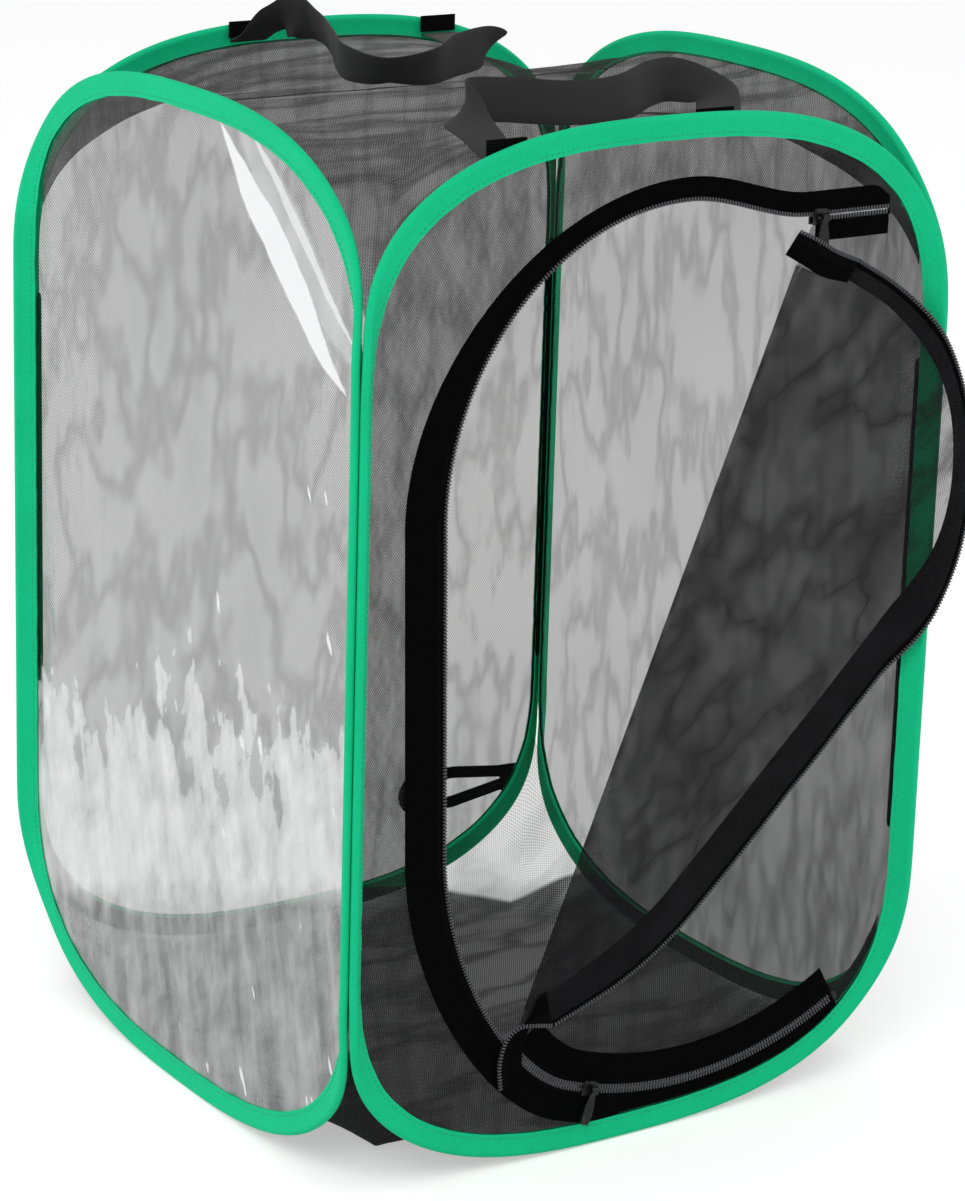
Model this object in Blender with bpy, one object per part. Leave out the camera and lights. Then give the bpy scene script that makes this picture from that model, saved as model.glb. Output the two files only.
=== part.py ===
"""Pop-up insect habitat cage, folded-tape loops with net sides and a zipped door.

Metres, +Z up. The origin is at the middle of the footprint, on the surface the cage stands on.
The door side faces -Y and the clear window faces -X.
"""

import math

import bmesh
import bpy
from mathutils import Matrix, Vector

# Overall size, over the corner fins
CAGE_SIDE = 0.400
CAGE_HEIGHT = 0.600

# Cloth and clearances
GAP = 0.0003
NET_THICKNESS = 0.0005
FILM_THICKNESS = 0.0003
TAPE_CLOTH = 0.0006
NET_PLAY = 0.0005

# Folded binding tape and the spring wire in it
TAPE_WIDTH = 0.014
WIRE_DIAMETER = 0.0020
FERRULE_DIAMETER = 0.0025
FERRULE_LENGTH = 0.012
FERRULE_TIP = 0.92
FERRULE_WAIST = 0.85
TAPE_SHOULDER = 0.80
MOUTH_DEPTH = 0.002
PANEL_SETBACK = 0.0003

# Outline of a side loop, measured at the tape's inner edge
LOOP_REACH = 0.130
LOOP_POWER = 2.75
LOOP_STEPS = 11

# Where the tape turns out of its panel into the corner fin, above and below the loop's ends
FIN_ANGLE = math.radians(45.0)
FIN_START = 0.050
FIN_FULL = 0.125

# Rolled seam inside each corner
SEAM_DIAMETER = 0.0030
SEAM_END_GAP = 0.012
SEAM_TIP = 0.6

# Top net and floor net
ROOF_SAG = 0.004
ROOF_FOLD = 0.002
ROOF_FOLD_PITCH = 0.124
FLOOR_DROP = 0.060
CORNER_TRIM = 0.006
SHEET_STEPS = (0.008, 0.020, 0.040, 0.075, 0.125)
SHEET_SEAM_LIFT = 0.0015

# Zip line of the door, as margins from the tape's inner edge
DOOR_LEFT_MARGIN = 0.050
DOOR_TOP_MARGIN = 0.035
DOOR_BOTTOM_MARGIN = 0.013
DOOR_TOP_APEX_X = 0.016
DOOR_TOP_DROP = 0.0155
DOOR_TOP_STRAIGHT_GAP = 0.008
DOOR_TOP_CORNER_HEIGHT = 0.161
DOOR_LEAN = 0.005
DOOR_FOOT_HEIGHT = 0.204
DOOR_CURVE_REACH = 0.46
DOOR_ARC_RADIUS = 0.230
DOOR_ARC_X = 0.035
DOOR_ARC_START_X = -0.045
ZIP_END_CLEARANCE = 0.009

# Black facing tape and zip chain
FACING_THICKNESS = 0.0008
FACING_TOP = 0.0140
FACING_SIDE = 0.0270
FACING_FOOT = 0.0210
FACING_EDGE_GAP = 0.0014
CHAIN_GAP = 0.0012
CHAIN_WIDTH = 0.0025
CHAIN_THICKNESS = 0.0022
NET_EDGE_INSET = 0.0055
STOP_LENGTH = 0.003
STOP_TAPER = 0.8

# Crease that the open door hangs from
CREASE_FOOT = (-0.075, 0.095)
CREASE_HEAD_X = 0.098
CREASE_HEAD_DROP = 0.029
CREASE_STANDOFF = 0.0032
CREASE_GAP = 0.0008
FLAP_HEAD_MARGIN = 0.0147
FLAP_FOOT = -0.006
FLAP_NOTCH = (0.022, 0.048)
FLAP_SLOPE_RISE = 0.0033
FLAP_REST = math.radians(172.0)
FLAP_CHAIN_START = 0.012

# Sliders and pull tabs
UPPER_SLIDER_MARGIN = 0.0614
LOWER_SLIDER_X = -0.029
SLIDER_LENGTH = 0.011
SLIDER_PLATE = 0.0012
SLIDER_PLAY = 0.0003
SLIDER_NECK = 0.0005
SLIDER_SHOULDER = (0.70, 0.90)
SLIDER_TAPER = 0.72
SLIDER_FLANGE_END = 0.55
SLIDER_NECK_END = -0.6
ARCH_TAPER = 0.9
BRIDGE_DIAMETER = 0.0015
PULL_LENGTH = 0.021
PULL_WIDTH = 0.0065
PULL_THICKNESS = 0.0014
PULL_ROOT_WIDTH = 0.9
PULL_SHOULDER = 0.40
PULL_TIP = (0.60, 0.88)
KNUCKLE_WALL = 0.0011
KNUCKLE_WIDTH = 0.0045

# Webbing handles
WEBBING_WIDTH = 0.025
WEBBING_THICKNESS = 0.0015
HANDLE_STEPS = 3
FRONT_HANDLE_X = (-0.103, 0.033)
BACK_HANDLE_X = (-0.045, 0.094)
HANDLE_END_HEIGHT = 0.010
HANDLE_END_LIFT = 0.0024

# Strap that holds the folded cage shut
STRAP_WIDTH = 0.008
STRAP_THICKNESS = 0.0012
STRAP_LENGTH = 0.078
STRAP_SPREAD = 0.021
STRAP_NECK = 0.0095
STRAP_HEIGHT = 0.070
STRAP_END_THICKNESS = 0.0020
STRAP_END_IN = 0.004
STRAP_END_OUT = 0.0115

GREEN = ("green_tape", (0.01, 0.58, 0.29, 1.0), 0.65, 0.0)
BLACK_NET = ("black_net", (0.03, 0.03, 0.03, 1.0), 0.85, 0.0)
CLEAR_FILM = ("clear_film", (0.80, 0.80, 0.80, 1.0), 0.15, 0.0)
BLACK_TAPE = ("black_tape", (0.01, 0.01, 0.01, 1.0), 0.75, 0.0)
ZIP_NYLON = ("zip_nylon", (0.02, 0.02, 0.02, 1.0), 0.40, 0.0)
ZIP_METAL = ("black_metal", (0.02, 0.02, 0.02, 1.0), 0.35, 0.8)
WEBBING = ("black_webbing", (0.012, 0.012, 0.012, 1.0), 0.80, 0.0)
SPRING_STEEL = ("spring_steel", (0.55, 0.56, 0.58, 1.0), 0.35, 1.0)

# Worked out from the sizes above
HOLLOW_RADIUS = WIRE_DIAMETER / 2 + GAP
HOLLOW_CORNER = HOLLOW_RADIUS * math.sqrt(2)
HALF_BULGE = HOLLOW_CORNER + TAPE_CLOTH
WIRE_U = TAPE_WIDTH - HOLLOW_CORNER - TAPE_CLOTH * math.sqrt(2)
HALF_MOUTH = NET_THICKNESS / 2 + NET_PLAY
HALF_EDGE = HALF_MOUTH + TAPE_CLOTH
FIN_OFFSET = GAP / 2 + HALF_BULGE
FIN_ROOT = math.sqrt(2) * (PANEL_SETBACK + HALF_BULGE) - FIN_OFFSET
FIN_OUT = (FIN_ROOT + WIRE_U + FIN_OFFSET + HALF_BULGE) / math.sqrt(2)
HINGE = CAGE_SIDE / 2 - FIN_OUT
PANEL_Y = HINGE + PANEL_SETBACK + HALF_BULGE
LOOP_HALF = HINGE - (FIN_OFFSET - FIN_ROOT) / math.sqrt(2)
ROOF_EDGE = PANEL_Y - HALF_EDGE - GAP * 1.5
TAPE_Y = NET_THICKNESS / 2 + GAP + FACING_THICKNESS / 2
CHAIN_OUT = CHAIN_GAP / 2 + CHAIN_WIDTH
FACING_IN = CHAIN_OUT + GAP
ZIP_TOP = CAGE_HEIGHT - TAPE_WIDTH - DOOR_TOP_MARGIN
CREASE_HEAD = (CREASE_HEAD_X, ZIP_TOP - CREASE_HEAD_DROP)
CREASE_LENGTH = math.hypot(CREASE_HEAD[0] - CREASE_FOOT[0], CREASE_HEAD[1] - CREASE_FOOT[1])
FLAP_HEAD = CREASE_LENGTH - FLAP_HEAD_MARGIN
FLAP_SLOPE_HEAD = CREASE_LENGTH + FLAP_SLOPE_RISE
BRIDGE_Y = CHAIN_THICKNESS / 2 + SLIDER_PLAY + SLIDER_PLATE + GAP + KNUCKLE_WALL + GAP + BRIDGE_DIAMETER / 2

# Each side: the quarter turn that takes the front panel's shapes to it
SIDES = {"front": 0.0, "left": -90.0, "right": 90.0, "back": 180.0}
HINGE_OF = {"front": (-1, -1), "left": (-1, -1), "right": (1, -1), "back": (-1, 1)}


def smoothstep(value):
    t = min(1.0, max(0.0, value))
    return t * t * (3.0 - 2.0 * t)


def clear_scene():
    for obj in list(bpy.data.objects):
        bpy.data.objects.remove(obj, do_unlink=True)


def material(spec):
    name, colour, roughness, metallic = spec
    found = bpy.data.materials.get(name)
    if found:
        return found
    made = bpy.data.materials.new(name)
    made.use_nodes = True
    shader = made.node_tree.nodes["Principled BSDF"]
    shader.inputs["Base Color"].default_value = colour
    shader.inputs["Roughness"].default_value = roughness
    shader.inputs["Metallic"].default_value = metallic
    return made


def add_object(name, bm, spec, smooth_angle=None):
    """Finish a bmesh as a scene object, with its faces turned outwards."""
    bmesh.ops.recalc_face_normals(bm, faces=bm.faces)
    mesh = bpy.data.meshes.new(name)
    bm.to_mesh(mesh)
    bm.free()
    if smooth_angle is not None:
        mesh.shade_smooth()
        mesh.set_sharp_from_angle(angle=math.radians(smooth_angle))
    obj = bpy.data.objects.new(name, mesh)
    bpy.context.scene.collection.objects.link(obj)
    obj.data.materials.append(material(spec))
    return obj


def set_origin(obj, point):
    """Move the object's origin to a point, with the shape left where it is."""
    obj.data.transform(Matrix.Translation(-Vector(point)))
    obj.location = Vector(point)


def loft(name, rings, spec, closed=False, smooth_angle=40.0):
    """Bridge equal rings of points in order, and cap the ends unless the rings close."""
    bm = bmesh.new()
    rows = [[bm.verts.new(point) for point in ring] for ring in rings]
    count = len(rows[0])
    pairs = list(zip(rows, rows[1:]))
    if closed:
        pairs.append((rows[-1], rows[0]))
    for first, second in pairs:
        for i in range(count):
            j = (i + 1) % count
            bm.faces.new((first[i], first[j], second[j], second[i]))
    if not closed:
        bm.faces.new(rows[0])
        bm.faces.new(rows[-1])
    return add_object(name, bm, spec, smooth_angle)


def prism(name, outline, y_low, y_high, spec, helper=False):
    """Extrude an outline of (x, z) points between two Y planes."""
    bm = bmesh.new()
    face = bm.faces.new([bm.verts.new((x, y_low, z)) for x, z in outline])
    grown = bmesh.ops.extrude_face_region(bm, geom=[face])
    moved = [item for item in grown["geom"] if isinstance(item, bmesh.types.BMVert)]
    bmesh.ops.translate(bm, verts=moved, vec=(0.0, y_high - y_low, 0.0))
    obj = add_object(name, bm, spec)
    if helper:
        obj.hide_render = True
        obj.display_type = "WIRE"
    return obj


def add_boolean(obj, cutter, operation):
    cut = obj.modifiers.new(operation.lower() + "_" + cutter.name, "BOOLEAN")
    cut.object = cutter
    cut.operation = operation
    cut.solver = "EXACT"


def add_solidify(obj, thickness):
    wall = obj.modifiers.new("cloth", "SOLIDIFY")
    wall.thickness = thickness
    wall.offset = 0.0
    wall.use_even_offset = True


def smooth_route(points, steps):
    """Catmull-Rom curve through the points, with a number of steps in each span."""
    ends = [points[0] * 2 - points[1]] + list(points) + [points[-1] * 2 - points[-2]]
    route = []
    for i in range(1, len(ends) - 2):
        p0, p1, p2, p3 = ends[i - 1:i + 3]
        for k in range(steps):
            t = k / steps
            route.append(0.5 * (2 * p1 + (p2 - p0) * t + (2 * p0 - 5 * p1 + 4 * p2 - p3) * t * t
                                + (3 * p1 - p0 - 3 * p2 + p3) * t ** 3))
    route.append(points[-1].copy())
    return route


# Side loops

def loop_height(distance):
    """Height of the tape's inner edge above a loop's lowest outer edge, at a distance from its side."""
    across = min(1.0, max(0.0, (LOOP_HALF - distance) / LOOP_HALF))
    drop = LOOP_REACH * (1.0 - across ** LOOP_POWER) ** (1.0 / LOOP_POWER)
    return TAPE_WIDTH + LOOP_REACH - drop


def fin_angle(z):
    """How far the tape is turned out of its panel at a height."""
    height = min(z, CAGE_HEIGHT - z)
    return FIN_ANGLE * smoothstep((height - FIN_START) / (FIN_FULL - FIN_START))


def loop_stations():
    """Points of the tape's inner edge round a loop, as (x, z, normal x, normal z, fin angle)."""
    quarter = []
    for step in range(LOOP_STEPS + 1):
        turn = math.pi / 2 * step / LOOP_STEPS
        x = LOOP_HALF * max(0.0, math.cos(turn)) ** (2.0 / LOOP_POWER)
        z = LOOP_REACH * math.sin(turn) ** (2.0 / LOOP_POWER)
        quarter.append((x if step < LOOP_STEPS else 0.0, z))
    top = CAGE_HEIGHT - TAPE_WIDTH - LOOP_REACH
    foot = TAPE_WIDTH + LOOP_REACH
    points = [(x, top + z) for x, z in quarter]
    points += [(-x, top + z) for x, z in quarter[-2::-1]]
    points += [(-x, foot - z) for x, z in quarter]
    points += [(x, foot - z) for x, z in quarter[-2::-1]]
    stations = []
    for i, (x, z) in enumerate(points):
        after = points[(i + 1) % len(points)]
        before = points[i - 1]
        tangent = Vector((after[0] - before[0], after[1] - before[1])).normalized()
        if abs(x) >= LOOP_HALF - 1e-6:
            tangent = Vector((0.0, math.copysign(1.0, x)))
        stations.append((x, z, tangent.y, -tangent.x, fin_angle(z)))
    return stations


def section_point(station, u, v):
    """A point of the tape's section: u outwards from the inner edge, v across the tape."""
    x, z, nx, nz, turn = station
    along = u * math.cos(turn) - v * math.sin(turn)
    out = u * math.sin(turn) + v * math.cos(turn)
    return Vector((x + along * nx, -PANEL_Y - out, z + along * nz))


def tape_profile():
    """Section of the folded tape: a slit sleeve with a round pocket for the wire."""
    shoulder_u = (WIRE_U + TAPE_WIDTH) / 2
    pocket_u = WIRE_U - HOLLOW_CORNER - TAPE_CLOTH / 2
    outside = [(0.0, -HALF_EDGE), (WIRE_U - TAPE_CLOTH, -HALF_BULGE), (shoulder_u, -TAPE_SHOULDER * HALF_BULGE),
               (TAPE_WIDTH, 0.0), (shoulder_u, TAPE_SHOULDER * HALF_BULGE), (WIRE_U - TAPE_CLOTH, HALF_BULGE),
               (0.0, HALF_EDGE)]
    inside = [(0.0, HALF_MOUTH), (pocket_u, HALF_MOUTH), (WIRE_U, HOLLOW_CORNER),
              (WIRE_U + HOLLOW_CORNER, 0.0), (WIRE_U, -HOLLOW_CORNER), (pocket_u, -HALF_MOUTH),
              (0.0, -HALF_MOUTH)]
    return outside + inside


def place_side(obj, side):
    """Turn a shape built for the front panel to its side, with its origin on the side's hinge."""
    obj.data.transform(Matrix.Rotation(math.radians(SIDES[side]), 4, "Z"))
    sign_x, sign_y = HINGE_OF[side]
    set_origin(obj, (sign_x * HINGE, sign_y * HINGE, 0.0))
    return obj


def make_binding(side, stations):
    profile = tape_profile()
    rings = [[section_point(station, u, v) for u, v in profile] for station in stations]
    return place_side(loft(side + "_binding", rings, GREEN, closed=True), side)


def make_wire(side, stations):
    """Spring wire in the tape's pocket, open at the bottom where the ferrule joins its ends."""
    half_open = FERRULE_LENGTH / 2 + GAP
    lowest = min(range(len(stations)), key=lambda i: stations[i][1] + abs(stations[i][0]))
    order = stations[lowest + 1:] + stations[:lowest]
    x, z, nx, nz, turn = stations[lowest]
    ends = [(-half_open, z, nx, nz, turn), (half_open, z, nx, nz, turn)]
    if order[0][0] > 0:
        ends.reverse()
    order = [ends[0]] + order + [ends[1]]
    radius = WIRE_DIAMETER / 2
    rings = []
    for station in order:
        ring = []
        for k in range(6):
            angle = math.pi * k / 3
            ring.append(section_point(station, WIRE_U + radius * math.cos(angle), radius * math.sin(angle)))
        rings.append(ring)
    return place_side(loft(side + "_wire", rings, SPRING_STEEL, smooth_angle=70.0), side)


def make_ferrule(side, stations):
    """Crimped sleeve that joins the wire's ends, with its middle pressed in."""
    lowest = min(stations, key=lambda s: s[1] + abs(s[0]))
    centre = section_point(lowest, WIRE_U, 0.0)
    half = [(0.12, 1.0), (0.42, 1.0), (0.5, FERRULE_TIP)]
    rings = []
    for share, press in [(-x, p) for x, p in reversed(half)] + [(0.0, FERRULE_WAIST)] + half:
        radius = FERRULE_DIAMETER / 2 * press
        ring = [centre + Vector((share * FERRULE_LENGTH, radius * math.cos(a), radius * math.sin(a)))
                for a in (math.pi * k / 4 for k in range(8))]
        rings.append(ring)
    return place_side(loft(side + "_wire_ferrule", rings, SPRING_STEEL), side)


def mouth_depth(turn):
    """How deep a sheet's edge sits in the tape's mouth; in the fins it stops short of the hinge."""
    in_fin = (HINGE - GAP / 2 - LOOP_HALF) * math.sqrt(2) - NET_THICKNESS / 2
    return MOUTH_DEPTH + (in_fin - MOUTH_DEPTH) * turn / FIN_ANGLE


def make_panel(name, side, stations, thickness, spec):
    """Flat sheet in a loop, whose edge bends into the mouth of the tape."""
    bm = bmesh.new()
    rows = []
    for share in (1.0, 0.0):
        rows.append([bm.verts.new(section_point(station, share * mouth_depth(station[4]), 0.0))
                     for station in stations])
    for first, second in zip(rows, rows[1:]):
        count = len(first)
        for i in range(count):
            j = (i + 1) % count
            bm.faces.new((first[i], first[j], second[j], second[i]))
    bm.faces.new(rows[-1])
    obj = add_object(name, bm, spec)
    add_solidify(obj, thickness)
    return place_side(obj, side)


# Roof and floor

def sheet_positions():
    steps = [0.0] + list(SHEET_STEPS)
    low = [-ROOF_EDGE + step for step in steps]
    return low + [0.0] + [-value for value in reversed(low)]


def sheet_height(x, y):
    """Height of the seam line above the loop's end, spread in straight lines over each corner."""
    from_side = ROOF_EDGE - abs(x), ROOF_EDGE - abs(y)
    return loop_height(sum(from_side) * LOOP_HALF / ROOF_EDGE)


def make_sheet(name, height_at, spec):
    """Square net sheet on a grid, with its corner tips trimmed where the loops part."""
    bm = bmesh.new()
    places = sheet_positions()
    rows = []
    for y in places:
        row = []
        for x in places:
            px, py = x, y
            if abs(x) == ROOF_EDGE and abs(y) == ROOF_EDGE:
                px = math.copysign(ROOF_EDGE - CORNER_TRIM / 2, x)
                py = math.copysign(ROOF_EDGE - CORNER_TRIM / 2, y)
            row.append(bm.verts.new((px, py, height_at(px, py))))
        rows.append(row)
    for low, high in zip(rows, rows[1:]):
        for i in range(len(low) - 1):
            bm.faces.new((low[i], low[i + 1], high[i + 1], high[i]))
    bmesh.ops.triangulate(bm, faces=bm.faces)
    obj = add_object(name, bm, spec)
    add_solidify(obj, NET_THICKNESS)
    return obj


def roof_height(x, y):
    inset = min(ROOF_EDGE - abs(x), ROOF_EDGE - abs(y))
    slack = smoothstep(inset / FLOOR_DROP)
    fold = ROOF_FOLD * math.cos(2 * math.pi * y / ROOF_FOLD_PITCH)
    return CAGE_HEIGHT - sheet_height(x, y) + SHEET_SEAM_LIFT + slack * (fold - ROOF_SAG)


def floor_height(x, y):
    inset = min(ROOF_EDGE - abs(x), ROOF_EDGE - abs(y))
    slack = smoothstep(inset / FLOOR_DROP)
    seam = sheet_height(x, y) - SHEET_SEAM_LIFT
    return seam * (1.0 - slack) + slack * NET_THICKNESS / 2


def make_corner_seam(name, sign_x, sign_y):
    """Rolled seam allowance on the hinge line between two loops."""
    low = TAPE_WIDTH + LOOP_REACH + SEAM_END_GAP
    high = CAGE_HEIGHT - low
    rings = []
    for z, share in ((low, SEAM_TIP), (low + SEAM_DIAMETER, 1.0), (high - SEAM_DIAMETER, 1.0),
                     (high, SEAM_TIP)):
        radius = SEAM_DIAMETER / 2 * share
        rings.append([Vector((radius * math.cos(a), radius * math.sin(a), z))
                      for a in (math.pi * k / 4 for k in range(8))])
    obj = loft(name, rings, BLACK_TAPE)
    obj.location = (sign_x * HINGE, sign_y * HINGE, 0.0)
    return obj


# Zip line

def door_arc_point(x):
    """A point of the door's foot arc, which runs from the lower slider to the right loop."""
    centre_z = TAPE_WIDTH + DOOR_BOTTOM_MARGIN + DOOR_ARC_RADIUS
    return Vector((x, centre_z - math.sqrt(DOOR_ARC_RADIUS ** 2 - (x - DOOR_ARC_X) ** 2)))


def loop_edge_x(z):
    """Half width of a loop's opening at a height."""
    height = min(z, CAGE_HEIGHT - z) - TAPE_WIDTH
    if height >= LOOP_REACH:
        return LOOP_HALF
    down = (LOOP_REACH - height) / LOOP_REACH
    return LOOP_HALF * (1.0 - down ** LOOP_POWER) ** (1.0 / LOOP_POWER)


def upper_slider_x():
    return loop_edge_x(ZIP_TOP - DOOR_TOP_DROP) - UPPER_SLIDER_MARGIN


def zip_line():
    """Line where the teeth meet, from its upper right end round the left to its lower right end."""
    left = -LOOP_HALF + DOOR_LEFT_MARGIN
    right_z = ZIP_TOP - DOOR_TOP_DROP
    slider_x = upper_slider_x()
    upper_end = run_end_x(lambda x: Vector((x, right_z)), slider_x, loop_edge_x(right_z))
    points = [Vector((upper_end, right_z)), Vector((slider_x + SLIDER_LENGTH, right_z))]
    straight_x = slider_x - DOOR_TOP_STRAIGHT_GAP
    run = straight_x - DOOR_TOP_APEX_X
    for step in range(5):
        x = straight_x - run * step / 5
        share = smoothstep((x - DOOR_TOP_APEX_X) / run)
        points.append(Vector((x, ZIP_TOP - DOOR_TOP_DROP * share)))
    for step in range(8):
        turn = math.pi / 2 * step / 8
        x = DOOR_TOP_APEX_X - (DOOR_TOP_APEX_X - left) * math.sin(turn)
        z = ZIP_TOP - DOOR_TOP_CORNER_HEIGHT * (1.0 - math.cos(turn))
        points.append(Vector((x, z)))
    foot_left = Vector((left + DOOR_LEAN, DOOR_FOOT_HEIGHT))
    points.append(Vector((left, ZIP_TOP - DOOR_TOP_CORNER_HEIGHT)))
    points.append((points[-1] + foot_left) / 2)
    arc_start = door_arc_point(DOOR_ARC_START_X)
    slope = (door_arc_point(DOOR_ARC_START_X + 0.001) - arc_start).normalized()
    handle_down = foot_left - Vector((0.0, DOOR_CURVE_REACH * (foot_left.y - arc_start.y)))
    handle_up = arc_start - slope * DOOR_CURVE_REACH * (arc_start.x - foot_left.x)
    for step in range(7):
        t = step / 7
        points.append(foot_left * (1 - t) ** 3 + handle_down * 3 * t * (1 - t) ** 2
                      + handle_up * 3 * t * t * (1 - t) + arc_start * t ** 3)
    end_x = run_end_x(door_arc_point, DOOR_ARC_X, arc_crossing_x())
    count = 14
    for step in range(count + 1):
        points.append(door_arc_point(DOOR_ARC_START_X + (end_x - DOOR_ARC_START_X) * step / count))
    return points


def run_end_x(point_at, low, high):
    """Where a run of the zip stops, at its clearance from the loop's tape."""
    for _ in range(30):
        middle = (low + high) / 2
        if loop_distance(point_at(middle)) > ZIP_END_CLEARANCE:
            low = middle
        else:
            high = middle
    return low


def arc_crossing_x():
    """Where the foot arc would cross the loop's inner edge."""
    x = LOOP_HALF
    for _ in range(30):
        x = loop_edge_x(door_arc_point(min(x, DOOR_ARC_X + 0.9 * DOOR_ARC_RADIUS)).y)
    return x


def side_normals(line):
    """Normals of the line, pointing away from the door."""
    normals = []
    for i in range(len(line)):
        before = line[max(0, i - 1)]
        after = line[min(len(line) - 1, i + 1)]
        tangent = (after - before).normalized()
        normals.append(Vector((tangent.y, -tangent.x)))
    return normals


def loop_distance(point):
    """How far a point of the front panel is from the inner edge of the loop's tape."""
    edge = [Vector((station[0], station[1])) for station in loop_stations()]
    nearest = CAGE_SIDE
    for first, second in zip(edge, edge[1:] + edge[:1]):
        span = second - first
        share = min(1.0, max(0.0, (point - first).dot(span) / span.length_squared))
        nearest = min(nearest, (point - first - span * share).length)
    return nearest


def facing_width(point):
    """The facing is narrow over the door's top, widest down its left side and less at its foot."""
    upper = smoothstep((ZIP_TOP - point.y) / DOOR_TOP_CORNER_HEIGHT)
    width = FACING_TOP + (FACING_SIDE - FACING_TOP) * upper
    lower = smoothstep((DOOR_FOOT_HEIGHT - point.y) / DOOR_FOOT_HEIGHT)
    return width + (FACING_FOOT - FACING_SIDE) * lower


def surround_width(point):
    """The surround's facing also stops short of the loop's tape where the two run close."""
    return min(facing_width(point), loop_distance(point) - FACING_EDGE_GAP)


def make_strip(name, line, normals, near, far, sign, y_mid, thickness, spec):
    """Flat strip beside the zip line, from a near to a far offset on one side of it."""
    rings = []
    for point, normal in zip(line, normals):
        reach = far(point) if callable(far) else far
        inner = point + normal * sign * near
        outer = point + normal * sign * reach
        low = y_mid - thickness / 2
        high = y_mid + thickness / 2
        rings.append([Vector((inner.x, low, inner.y)), Vector((outer.x, low, outer.y)),
                      Vector((outer.x, high, outer.y)), Vector((inner.x, high, inner.y))])
    return loft(name, rings, spec)


def crease_way():
    """Direction of the crease, from its foot to its head."""
    return (Vector(CREASE_HEAD) - Vector(CREASE_FOOT)).normalized()


def crease_right_way():
    along = crease_way()
    return Vector((along.y, -along.x))


def right_of_crease(point):
    return (point - Vector(CREASE_FOOT)).dot(crease_right_way())


def along_crease(point):
    return (point - Vector(CREASE_FOOT)).dot(crease_way())


def split_zip(line):
    """How many points the closed upper run has, and where the closed lower run starts."""
    upper = [p for p in line if p.x > upper_slider_x() - SLIDER_LENGTH / 2 and p.y > CAGE_HEIGHT / 2]
    lower_from = next(i for i, p in enumerate(line) if p.y < CREASE_FOOT[1] and right_of_crease(p) > 0.0)
    return len(upper), lower_from


def make_zip(line):
    """Facing tapes and chain halves that stay with the front panel."""
    normals = side_normals(line)
    y_mid = -PANEL_Y - TAPE_Y
    make_strip("surround_tape", line, normals, FACING_IN, surround_width, 1, y_mid, FACING_THICKNESS, BLACK_TAPE)
    make_strip("surround_chain", line, normals, CHAIN_GAP / 2, CHAIN_OUT, 1, y_mid, CHAIN_THICKNESS, ZIP_NYLON)
    count, lower_from = split_zip(line)
    runs = {"upper": (line[:count], normals[:count]), "lower": (line[lower_from:], normals[lower_from:])}
    for name, (part, part_normals) in runs.items():
        make_strip("door_tape_" + name, part, part_normals, FACING_IN, facing_width, -1, y_mid,
                   FACING_THICKNESS, BLACK_TAPE)
        make_strip("door_chain_" + name, part, part_normals, CHAIN_GAP / 2, CHAIN_OUT, -1, y_mid,
                   CHAIN_THICKNESS, ZIP_NYLON)
    for name, point, nearby in (("upper_zip_stop", line[0], line[1]), ("lower_zip_stop", line[-1], line[-2])):
        make_zip_stop(name, point, nearby, y_mid)


def make_zip_stop(name, point, nearby, y_mid):
    """Clamp across both chain halves, just past the zip's end."""
    out = (point - nearby).normalized()
    across = Vector((out.y, -out.x))
    start = point + out * GAP
    end = start + out * STOP_LENGTH
    outline = [start + across * CHAIN_OUT, end + across * CHAIN_OUT * STOP_TAPER,
               end - across * CHAIN_OUT * STOP_TAPER, start - across * CHAIN_OUT]
    half = CHAIN_THICKNESS / 2
    prism(name, [(p.x, p.y) for p in outline], y_mid - half, y_mid + half, ZIP_METAL)


# Front net and door

def offset_outline(line, normals, distance):
    return [(p.x + n.x * distance, p.y + n.y * distance) for p, n in zip(line, normals)]


def make_front_net(line, stations):
    """The net round the door, and the part of the door's net that stays zipped in."""
    normals = side_normals(line)
    beyond = CAGE_SIDE
    grown = offset_outline(line, normals, NET_EDGE_INSET)
    outline = [(beyond, grown[0][1])] + grown + [(beyond, grown[-1][1])]
    y_low = -PANEL_Y - TAPE_WIDTH * 2
    y_high = -PANEL_Y + TAPE_WIDTH
    cutter = prism("door_region_cutter", outline, y_low, y_high, BLACK_NET, True)
    surround = make_panel("surround_net", "front", stations, NET_THICKNESS, BLACK_NET)
    add_boolean(surround, cutter, "DIFFERENCE")
    shrunk = offset_outline(line, normals, -NET_EDGE_INSET)
    fixed = [p for p in shrunk if right_of_crease(Vector(p)) > CREASE_GAP]
    upper = [p for p in fixed if p[1] > CAGE_HEIGHT / 2]
    lower = [p for p in fixed if p[1] <= CAGE_HEIGHT / 2]
    head = crease_crossing(shrunk, True)
    base = crease_crossing(shrunk, False)
    outline = [(beyond, upper[0][1])] + upper + [head, base] + lower + [(beyond, lower[-1][1])]
    keeper = prism("door_net_keeper", outline, y_low, y_high, BLACK_NET, True)
    door = make_panel("door_net", "front", stations, NET_THICKNESS, BLACK_NET)
    add_boolean(door, keeper, "INTERSECT")


def crease_crossing(points, upper):
    """Where an outline crosses the edge line just right of the crease."""
    for first, second in zip(points, points[1:]):
        a = right_of_crease(Vector(first)) - CREASE_GAP
        b = right_of_crease(Vector(second)) - CREASE_GAP
        if a * b <= 0.0 and (first[1] > CAGE_HEIGHT / 2) == upper:
            share = a / (a - b)
            return (first[0] + (second[0] - first[0]) * share, first[1] + (second[1] - first[1]) * share)
    return points[-1]


def flap_place(obj):
    """Swing a piece built in the closed door's place to the open door's place."""
    along = crease_way()
    set_origin(obj, (CREASE_FOOT[0], -PANEL_Y - CREASE_STANDOFF, CREASE_FOOT[1]))
    obj.rotation_mode = "AXIS_ANGLE"
    obj.rotation_axis_angle = (FLAP_REST, along.x, 0.0, along.y)


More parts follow.
